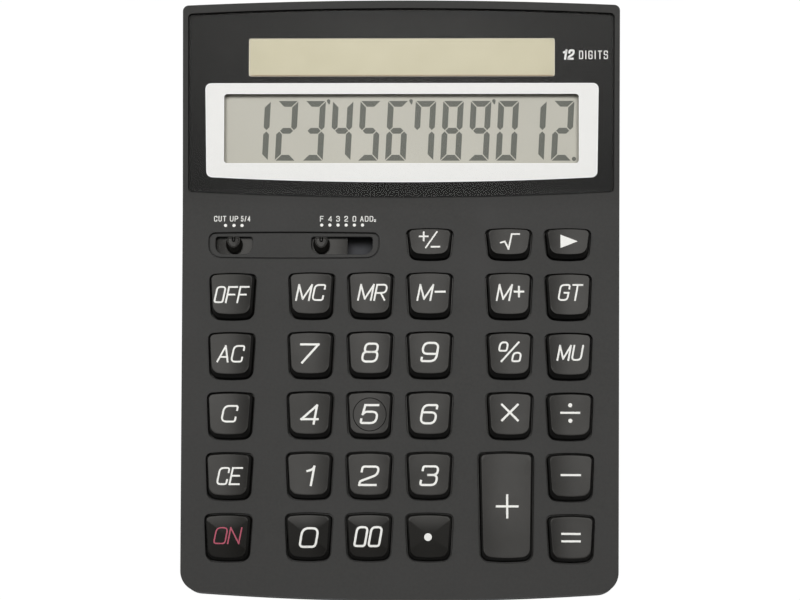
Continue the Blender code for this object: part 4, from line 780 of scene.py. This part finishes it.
# Slide switches. Two small ABS knobs, each one moulding with the thin plate that slides under
# the deck, and a sprung bronze wiper under it; dots and figures on the deck mark the settings.
PLATE_SIZE, PLATE_CORNERS, PLATE_BOTTOM = mm(18.2, 9.2), mm(0.8, 0.8), -3.5 * MM
NOTCH = np.array([(-0.4, 2.4), (-0.4, 1.2), (0.4, 1.2), (0.4, 2.4)]) * MM
NOTCH_WIDTH, NOTCH_TOP, NOTCH_REACH = mm(0.4, 1.1, 0.12)
KNOB_SIZE, KNOB_CORNERS, KNOB_BOWS = mm(4.6, 3.7), mm(0.8, 2.25), (0, 0.3 * MM)


def shield(grow, y=0.5 * MM):
    """A switch knob's outline: straight at the rear and rounded in front."""
    return four_sided((KNOB_SIZE[0],) * 2, KNOB_SIZE[1], KNOB_CORNERS, KNOB_BOWS, (0, y), grow, run=4)


# Painted shade: a matt, nearly black ink drawn where a fine groove or notch would be, for the
# shade in its bottom, since no light gets out of it.
groove_shade = even_coat("groove_painted_shade", "#050505", "#080808", 0.8, gloss=0.0)
# Satin black ABS, a little glossier than the case, as on the keys.
knob_abs = moulded_plastic("knob_satin_abs", "#151412", "#1c1b19", 0.26, 0.3 * MM, 0.004 * MM, ior=1.65)
knob_steps = [  # growth, shift and height of each ring, in mm
    (0.6, 0.0, -1.6), (0.6, 0.0, -0.9), (0.42, 0.3, -0.2), (0.14, 0.7, 0.6), (0.03, 0.9, 1.0),
    (-0.02, 0.95, 1.12), (-0.1, 0.95, 1.2), (-0.45, 0.95, 1.2), (-0.5, 0.95, 1.15),
    (-0.6, 0.95, 0.98), (-0.8, 0.95, 0.96),
]
knobs = {"rounding": (-58.0 * MM, "rounding_knob"), "decimal": (-27.5 * MM, "decimal_knob")}
for switch, (x, node) in knobs.items():
    width, length = PLATE_SIZE
    outline = lambda grow: four_sided((width, width), length, PLATE_CORNERS, grow=grow)
    plate = rounded_plate(outline, PLATE_BOTTOM, FLANGE_TOP, 0.15 * MM)
    rings = [raised(shield(0.2 * MM), FLANGE_TOP - 0.1 * MM)]
    rings += [raised(shield(grow * MM, y * MM), z * MM) for grow, y, z in knob_steps]
    forms = on_deck([plate, skin(rings, "flat", "ladder")], (x, STRIP_Y, 0))
    body = f"{switch}_switch"
    make_piece(f"{body}_knob", forms, knob_abs, body, [node], sharp=50)
    # The knob's notch: a thin near-black ribbon over its face, painted shade in place of a cut.
    bent = rounded_path(NOTCH, NOTCH_WIDTH)
    notch = stroke(bent, NOTCH_WIDTH, lambda x, y: NOTCH_TOP + 0 * x, NOTCH_REACH)
    notch = on_deck([notch], (x, STRIP_Y, 0))
    make_piece(f"{switch}_knob_notch", notch, groove_shade, body)

flat = lambda x, y: 0 * x
dots = [(x, -8.32) for x in (-61.02, -58.08, -55.28)]
dots += [(x, -8.15) for x in np.linspace(-27.46, -13.23, 6)]
marks = inked([circle(np.array(dot) * MM, 0.56 * MM, 24) for dot in dots], -0.02 * MM, 0.02 * MM)
labels = [("CUT", -65.1, -60.85), ("UP", -59.55, -56.65), ("5/4", -55.7, -52.5)]
labels += [(letter, x - 0.62, x + 0.62) for letter, x in zip("F4320", np.linspace(-27.46, -16.08, 5))]
labels.append(("ADD", -14.1, -9.5))
for text, left, right in labels:
    marks += word(text, (left, right, -6.91, -4.92), 0.27 * MM, flat, 0, 0.45, gap=0.4)
marks += word("2", (-9.25, -8.55, -7.0, -6.1), 0.2 * MM, flat, 0, 0.4)
make_piece("scale_marks", on_deck(marks), key_ink)


# Keycaps. Thirty-two hollow caps of satin black ABS; each has a flange that stays under the
# deck, walls that slope in, and a dished face with its function pad printed in white.
KEY_HEIGHT, KEY_DISH, KEY_ROLL, ROLL_START, KEY_EDGE = 3.8 * MM, 0.3 * MM, 1.7 * MM, 0.1, 0.16 * MM
LINE_WEIGHT, EDGE_GROWTH = 0.74, 0.06 * MM
KEY_BOTTOM, HOLLOW_TOP, KEY_WALLS = -3.5 * MM, -0.4 * MM, {"small": 0.5 * MM}
SIDE_SLOPE, REAR_SLOPE, FRONT_SLOPE, FLANGE_REACH = mm(0.82, 0.62, 1.32, 1.2)
THUMB_KEYS = ("key_on", "key_0", "key_00", "key_point")
# Satin black ABS: nearly black, with a soft sheen that follows the hollow of each face.
key_abs = moulded_plastic("key_satin_abs", "#0c0b09", "#11100d", 0.22, 0.3 * MM, 0.004 * MM, ior=1.65)


def face_outline(kind, grow=0.0):
    """A keycap's face: its foot drawn in by the slopes of its walls."""
    rear, front, length = KEY_SIZES[kind]
    size = (rear - 2 * SIDE_SLOPE, front - 2 * SIDE_SLOPE)
    centre = (0, (FRONT_SLOPE - REAR_SLOPE) / 2)
    return four_sided(size, length - REAR_SLOPE - FRONT_SLOPE, KEY_CORNERS, KEY_BOWS, centre, grow)


def face_height(kind, thumb):
    """The face's height: a hollow that rises with the square of x, and on the thumb keys a
    roll that falls with the square of the share of the way to the front."""
    edge = face_outline(kind)
    half, front, rear = edge[:, 0].max(), edge[:, 1].min(), edge[:, 1].max()
    start = rear + (front - rear) * ROLL_START

    def height(x, y):
        share = np.clip((start - y) / (start - front), 0, 1)
        return KEY_HEIGHT + KEY_DISH * (x / half) ** 2 - (KEY_ROLL * share**2 if thumb else 0)

    return height


# Key, text, its left, right, bottom and top in mm from the key's middle, line width, slant.
LEGEND_TABLE = """\
key_off OFF -6.22 6.14 -2.84 3.09 0.8 11
key_mc MC -5.44 5.24 -2.29 3.57 0.8 11
key_mr MR -4.51 6.17 -2.29 3.57 0.8 11
key_m_minus M -4.51 1.54 -2.31 3.54 0.8 11
key_m_minus - 1.74 5.52 0.41 1.38 0.95 0
key_m_plus M -4.67 1.23 -2.14 3.71 0.8 11
key_m_plus + 1.47 5.07 -0.91 3.09 0.9 0
key_gt GT -3.98 4.93 -1.9 3.94 0.8 11
key_ac AC -4.76 5.13 -2.73 3.28 0.8 11
key_7 7 -3.54 3.14 -3.3 3.7 1 0
key_8 8 -3.18 3.6 -3.0 3.9 1 10
key_9 9 -3.36 3.58 -2.82 4.22 1 10
key_percent % -4.69 4.94 -2.59 4.54 0.85 11
key_mu MU -4.45 4.96 -1.89 3.58 0.8 11
key_c C -3.07 3.25 -2.6 3.38 0.85 11
key_4 4 -3.4 3.38 -3.49 3.43 1 10
key_5 5 -3.36 3.59 -3.35 3.5 1 10
key_6 6 -3.5 3.26 -3.4 3.56 1 10
key_times x -3.07 2.97 -2.16 3.9 1 0
key_divide - -3.35 3.43 0.54 1.5 0.96 0
key_ce CE -4.1 5.07 -3.13 2.95 0.8 11
key_1 1 -1.7 2.2 -3.63 3.32 1 10
key_2 2 -3.66 3.72 -3.65 3.3 1 10
key_3 3 -3.45 3.62 -3.58 3.44 1 10
key_minus - -3.42 3.43 0.15 1.1 0.95 0
key_on ON -4.73 5.2 -2.24 3.45 0.6 11
key_0 0 -3.32 3.86 -3.65 3.3 1 10
key_00 00 -5.25 4.92 -3.39 3.63 1 10
key_equals = -3.42 3.1 -1.21 1.96 0.94 0
key_sign + -3.74 -0.42 0.41 3.86 0.75 0
key_sign / -1.63 2.72 -2.04 3.97 0.7 0
key_sign - 0.31 3.59 -2.01 -1.02 0.8 0
key_root r -3.15 3.74 -2.51 3.25 0.75 0
key_plus + -3.56 4.12 -4.01 4.1 1 0
"""
LEGENDS = {name: [] for name in places}
for line in LEGEND_TABLE.splitlines():
    name, text, *numbers = line.split()
    *box, width, slant = map(float, numbers)
    LEGENDS[name].append((text, box, width, slant))
ISLANDS = {  # filled shapes: outlines in mm from the key's middle
    "key_divide": [circle((0.05, 4.29 - 0.7), 0.7, 24), circle((0.05, -2.38 + 0.7), 0.7, 24)],
    "key_point": [circle((-0.4, 0.03), 1.3, 32)],
    "key_back": [np.array([(-2.71, -1.93), (3.25, 0.42), (-2.71, 2.77)])],
}
for name, (kind, x, y) in places.items():
    height = face_height(kind, name in THUMB_KEYS)
    turn = np.radians(np.linspace(0, 90, 6))
    hollow = key_outline(kind, -KEY_WALLS.get(kind, 1.7 * MM))
    rings = [raised(hollow, HOLLOW_TOP), raised(hollow, KEY_BOTTOM)]
    rings.append(raised(key_outline(kind, FLANGE_REACH - 0.15 * MM), KEY_BOTTOM))
    rings += [raised(key_outline(kind, FLANGE_REACH), z) for z in (KEY_BOTTOM + 0.15 * MM, FLANGE_TOP)]
    rings += [raised(key_outline(kind), z) for z in (FLANGE_TOP, 0)]
    grows, drops = EDGE_GROWTH - KEY_EDGE * (1 - np.cos(turn)), KEY_EDGE * (1 - np.sin(turn))
    for grow, drop in zip(grows, drops):
        edge = face_outline(kind, grow)
        rings.append(raised(edge, height(*edge.T) - drop))
    middle = edge.mean(0)
    for share in (0.94, 0.85, 0.72, 0.56, 0.4, 0.24, 0.1):
        inner = middle + (edge - middle) * share
        rings.append(raised(inner, height(*inner.T)))
    cap = skin(rings, "flat", "pole")
    where = (x, y, 0)
    cap = make_piece(f"{name}_cap", on_deck([cap], where), key_abs, name, [name], sharp=48)
    weigh_normals(cap)
    ink = []
    for text, box, width, slant in LEGENDS[name]:
        square = 16 if text in "+-=/" else 8
        ink += word(text, box, width * LINE_WEIGHT * MM, height, slant, squareness=square)
    islands = [outline * MM for outline in ISLANDS.get(name, [])]
    ink += inked(islands, -0.02 * MM, 0.03 * MM, height)
    print_ink = red_ink if name == "key_on" else key_ink
    make_piece(f"{name}_legend", on_deck(ink, where), print_ink, name)

# The home key's ring: a fine groove, drawn as a dark line of painted shade a quarter of a
# millimetre wide.
kind, x, y = places["key_5"]
height = face_height(kind, False)
ring = []
for radius, rise in ((5.5, -0.03), (5.75, -0.03), (5.75, 0.012), (5.5, 0.012)):
    outline = circle(mm(0.08, -0.04), radius * MM, 72)
    ring.append(raised(outline, height(*outline.T) + rise * MM))
ring = on_deck([tube(ring[::-1])], (x, y, 0))
make_piece("key_5_ring", ring, groove_shade, "key_5")


# Inside. The rubber dome mat, both printed boards, the ribbon between them, the chip under its
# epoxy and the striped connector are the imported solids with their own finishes.
def lined_finish(name, code, line_code, pitch, roughness):
    """Parallel lines of two colours at a real pitch, as conductors in a film or in rubber. A
    wave of scale s repeats s / 0.314 times a metre."""
    material, tree, shader, place = finish(name, Roughness=roughness)
    wave = {"Vector": place, "Scale": 0.314 / pitch, "Distortion": 0.0}
    lines = add_node(tree, "TexWave", wave, bands_direction="X")
    tones = {0: lines.outputs["Fac"], 6: colour(code), 7: colour(line_code)}
    paint = add_node(tree, "Mix", tones, data_type="RGBA")
    tree.links.new(paint.outputs[2], shader.inputs["Base Color"])
    return material


def grained_finish(name, code, spot_code, size, roughness, depth=0.01 * MM, **sockets):
    """Two tones in grains of a real size, with the same grains raised a little."""
    material, tree, shader, place = finish(name, Roughness=roughness, **sockets)
    grains = add_node(tree, "TexNoise", {"Vector": place, "Scale": 1 / size, "Detail": 4.0})
    paint = add_node(tree, "Mix", {0: grains, 6: colour(code), 7: colour(spot_code)}, data_type="RGBA")
    bump = add_node(tree, "Bump", {"Height": grains, "Distance": depth})
    tree.links.new(paint.outputs[2], shader.inputs["Base Color"])
    tree.links.new(bump.outputs[0], shader.inputs["Normal"])
    return material


# Moulded silicone and foot rubber: matt, with no shine even at a low angle.
dome_rubber = grained_finish("mat_moulded_rubber", "#3a3b3d", "#424345", 0.8 * MM, 0.7)
foot_rubber = grained_finish("foot_moulded_rubber", "#1b1b1c", "#242425", 0.5 * MM, 0.8)
# Solder resist over glass cloth, dark grey and half glossy, and potting epoxy, black and shiny.
board_resin = grained_finish("board_grey_solder_resist", "#36373b", "#3e3f43", 2.0 * MM, 0.45)
chip_epoxy = grained_finish("chip_black_epoxy", "#0f0f10", "#161617", 3.0 * MM, 0.2)
# Zinc-plated steel and spring bronze: bright metals, dulled by a fine drawn grain.
metal = dict(depth=0.004 * MM, Metallic=1.0)
plated_steel = grained_finish("screw_zinc_plate", "#b8babc", "#c9cbcd", 0.6 * MM, 0.32, **metal)
spring_bronze = grained_finish("contact_spring_bronze", "#b58a52", "#c2975f", 0.6 * MM, 0.3, **metal)
# Flat cable and striped rubber: pale plastic and rubber with their conductors as dark lines.
ribbon_film = lined_finish("ribbon_flat_cable", "#d8d4c8", "#8c8a84", 1.27 * MM, 0.4)
zebra_rubber = lined_finish("connector_striped_rubber", "#d9b3a8", "#202020", 0.5 * MM, 0.6)
kept = {
    "key_mat": dome_rubber, "main_board": board_resin, "display_board": board_resin, "chip_blob": chip_epoxy,
    "board_ribbon": ribbon_film, "lcd_connector": zebra_rubber, "battery_cell": plated_steel,
    "battery_side_contact": spring_bronze, "battery_top_contact": spring_bronze,
    "rounding_wiper": spring_bronze, "decimal_wiper": spring_bronze,
}
for name, material in kept.items():
    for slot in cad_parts[name].material_slots:
        slot.material = material


# Lower case. The tray: a thin floor with tapering walls and a lip inside the upper case, posts
# for the screws and a cup for the button cell, all one ABS moulding.
BASE_Z, FLOOR_Z, LOWER_TAPER, LOWER_ROUND, LOWER_STEP = mm(1.2, 3.0, 1.5, 1.0, 0.3)
LIP_HEIGHT, LIP_THICKNESS, CUP_WALL = mm(1.5, 1.0, 1.4)
POST_LAND, POST_RADIUS, WELL_RADIUS = mm(1.4, 4.0, 2.7)
BAY, CELL_BOTTOM, BAY_RADIUS, BAY_CEILING = mm(-35.0, 60.0), 3.0 * MM, 7.0 * MM, 9.3 * MM
FEET = {
    "foot_front_left": mm(-59.65, -87.936), "foot_front_right": mm(59.65, -87.936),
    "foot_rear_left": mm(-61.936, 87.936), "foot_rear_right": mm(61.936, 87.936),
}
FOOT_SEAT_RADIUS, FOOT_SEAT_DEPTH = mm(5.3, 0.7)
turn = np.radians(np.linspace(0, 90, 4))
lip_out, lip_in = UPPER_WALL + SEAT_GAP, UPPER_WALL + SEAT_GAP + LIP_THICKNESS
tray = []
for sine, cosine in zip(np.sin(turn), np.cos(turn)):
    plan = case_plan(LOWER_TAPER + LOWER_ROUND * (1 - sine))
    tray.append(raised(plan, BASE_Z + LOWER_ROUND * (1 - cosine)))
step_and_lip = ((LOWER_STEP, -SEAT_GAP), (lip_out, -SEAT_GAP), (lip_out, LIP_HEIGHT), (lip_in, LIP_HEIGHT))
for inset, lift in step_and_lip:
    plan = case_plan(inset)
    tray.append(raised(plan, parting_height(plan[:, 1]) + lift))
tray.append(raised(case_plan(lip_in), FLOOR_Z))
lower_case = make_piece(
    "lower_case_tray", [skin(tray, "ladder", "ladder")], case_abs,
    replaces=["lower_case"],
)
rooted = (BASE_Z + FLOOR_Z) / 2
posts = [shaft(circle((x, y), POST_RADIUS), rooted, post) for x, y, post, _ in SCREWS.values()]
carve(lower_case, posts, "UNION")
carve(lower_case, [shaft(boxed(*BAY, 28 * MM, 24 * MM, 2 * MM), rooted, CELL_BOTTOM + CUP_WALL)], "UNION")
carve(lower_case, [shaft(circle(BAY, BAY_RADIUS + CUP_WALL), CELL_BOTTOM, BAY_CEILING + CUP_WALL)], "UNION")
wells = []
for x, y, post, _ in SCREWS.values():
    land = post - POST_LAND
    steps = [(WELL_RADIUS, BASE_Z - OVERRUN), (WELL_RADIUS, land)]
    steps += [(PILOT_RADIUS, land), (PILOT_RADIUS, post + OVERRUN)]
    wells.append(skin([raised(circle((x, y), radius), z) for radius, z in steps]))
carve(lower_case, wells)
seats = [circle(np.array(centre), FOOT_SEAT_RADIUS) for centre in FEET.values()]
carve(lower_case, [shaft(seat, BASE_Z - OVERRUN, BASE_Z + FOOT_SEAT_DEPTH) for seat in seats])
carve(lower_case, [shaft(boxed(*BAY, 22.6 * MM, 18.6 * MM, 2.3 * MM), BASE_Z - OVERRUN, CELL_BOTTOM)])
carve(lower_case, [shaft(circle(BAY, BAY_RADIUS), BASE_Z, BAY_CEILING)])
weigh_normals(lower_case)


# Battery cover, screws and feet. The cover is an ABS plate with grip ribs; the screws are zinc
# plated with pan heads and cross slots; the feet are rubber discs glued in shallow seats.
COVER_TOP = 2.7 * MM
plate = rounded_plate(lambda grow: boxed(*BAY, 22 * MM, 18 * MM, 2 * MM, grow), BASE_Z, COVER_TOP, 0.25 * MM)
cover = make_piece("battery_cover_plate", [plate], case_abs, replaces=["battery_cover"])
ribs = []
for step in range(4):
    rib = boxed(BAY[0], BAY[1] - 6 * MM + step * 1.5 * MM, 9 * MM, 0.7 * MM, 0.3 * MM)
    ribs.append(shaft(rib, BASE_Z - MM, BASE_Z + 0.4 * MM))
carve(cover, ribs)
for name, (x, y, post, _) in SCREWS.items():
    seat = post - POST_LAND - SEAT_GAP
    steps = [(0.6, -1.3), (1.5, -1.28), (2.1, -1.1), (2.4, -0.6), (2.4, 0), (1.1, 0), (1.1, 5.7), (0.7, 6.4)]
    form = skin([raised(circle((x, y), radius * MM), seat + z * MM) for radius, z in steps], "pole", "pole")
    node = f"case_screw_{name}"
    screw = make_piece(f"screw_{name}", [form], plated_steel, replaces=[node])
    for wide, long in (mm(2.2, 0.5), mm(0.5, 2.2)):
        cross = shaft(boxed(x, y, wide, long, 0.15 * MM), seat - 2 * MM, seat - 0.55 * MM)
        carve(screw, [cross])
for name, centre in FEET.items():
    steps = [(3.4, 0.12), (4.2, 0.0), (4.6, 0.06), (4.9, 0.3), (5.0, 0.7), (5.0, 1.6)]
    form = skin([raised(circle(centre, radius * MM), z * MM) for radius, z in steps], "pole", "flat")
    make_piece(f"{name}_pad", [form], foot_rubber, replaces=[name])


# Studio. A pale floor that shows white to the camera, a soft lamp high on each side that casts
# no highlight, and a soft bright patch of sky overhead that the flat tops mirror.
FLOOR_RADIUS = 3.0  # metres


def floor_finish():
    """White paper: lit up for the camera's rays and those through the window, with a small
    share of its shading kept; every other ray finds plain paper."""
    material, tree, shader, _ = finish("floor_white_paper", Roughness=0.9)
    shader.inputs["Base Color"].default_value = colour("#d0d0d0")
    glow = add_node(tree, "Emission", {"Color": (1, 1, 1, 1), "Strength": 1.03})
    path = add_node(tree, "LightPath")
    rays = {0: path.outputs["Is Camera Ray"], 1: path.outputs["Is Transmission Ray"]}
    seen = add_node(tree, "Math", rays, operation="MAXIMUM")
    share = add_node(tree, "Math", {0: seen, 1: 0.97}, operation="MULTIPLY")
    both = add_node(tree, "MixShader", {0: share, 1: shader, 2: glow})
    tree.links.new(both.outputs[0], tree.nodes["Material Output"].inputs["Surface"])
    return material


angle = np.linspace(0, 2 * math.pi, 64, endpoint=False)
floor_mesh = bpy.data.meshes.new("floor")
disc = np.column_stack([np.cos(angle), np.sin(angle), 0 * angle]) * FLOOR_RADIUS
floor_mesh.from_pydata(disc.tolist(), [], [list(range(len(disc)))])
floor = bpy.data.objects.new("floor", floor_mesh)
floor.data.materials.append(floor_finish())
bpy.context.scene.collection.objects.link(floor)
floor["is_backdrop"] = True

lamps = (("left", (-0.35, 0.2, 1.25), 0.42, 7.4), ("right", (0.35, 0.2, 1.25), 0.42, 6.4))
for name, place, size, power in lamps:
    lamp = bpy.data.lights.new(f"lamp_{name}", "AREA")
    lamp.shape, lamp.size, lamp.energy = "DISK", size, power
    holder = bpy.data.objects.new(f"lamp_{name}", lamp)
    holder.location, holder.visible_glossy = place, False
    x, y, z = place
    holder.rotation_euler = (math.atan2(math.hypot(x, y), z), 0, math.atan2(y, x) + math.pi / 2)
    bpy.context.scene.collection.objects.link(holder)

world = bpy.data.worlds.new("studio")
world.use_nodes = True
bpy.context.scene.world = world
tree = world.node_tree
ahead = add_node(tree, "TexCoord").outputs["Generated"]
parts = add_node(tree, "SeparateXYZ", {0: ahead})
level = 1.5
# The patch's falls: the axis, whether both sides of it count, the sines from which and to which
# it falls, and the share that it has at each.
falls = (
    ("X", True, 0.08, 0.25, 1.0, 0.2),
    ("Y", False, -0.2, 0.0, 0.16, 1.0),
    ("Y", False, 0.3, 0.5, 1.0, 0.1),
)
for axis, both_ways, near, far, share_near, share_far in falls:
    value = parts.outputs[axis]
    if both_ways:
        value = add_node(tree, "Math", {0: value}, operation="ABSOLUTE")
    span = {"Value": value, "From Min": near, "From Max": far, "To Min": share_near, "To Max": share_far}
    fall = add_node(tree, "MapRange", span, interpolation_type="SMOOTHSTEP")
    level = add_node(tree, "Math", {0: fall, 1: level}, operation="MULTIPLY")
above = add_node(tree, "Math", {0: parts.outputs["Z"], 1: 0.5}, operation="GREATER_THAN")
lit = add_node(tree, "Math", {0: above, 1: level, 2: 0.03}, operation="MULTIPLY_ADD")
sky = tree.nodes["Background"]
sky.inputs["Color"].default_value = (1.0, 0.98, 0.94, 1.0)
tree.links.new(lit.outputs[0], sky.inputs["Strength"])

camera = bpy.data.objects.new("camera", bpy.data.cameras.new("camera"))
camera.location = (0.01167, -0.14454, 0.61903)
camera.rotation_euler = tuple(np.radians([13.499, 1.041, 0.3375]))
camera.data.lens, camera.data.sensor_width = 80.1, 36.0
camera.data.clip_start = 0.02
bpy.context.scene.collection.objects.link(camera)
bpy.context.scene.camera = camera
bpy.context.scene.view_settings.view_transform = "Standard"

low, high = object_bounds()
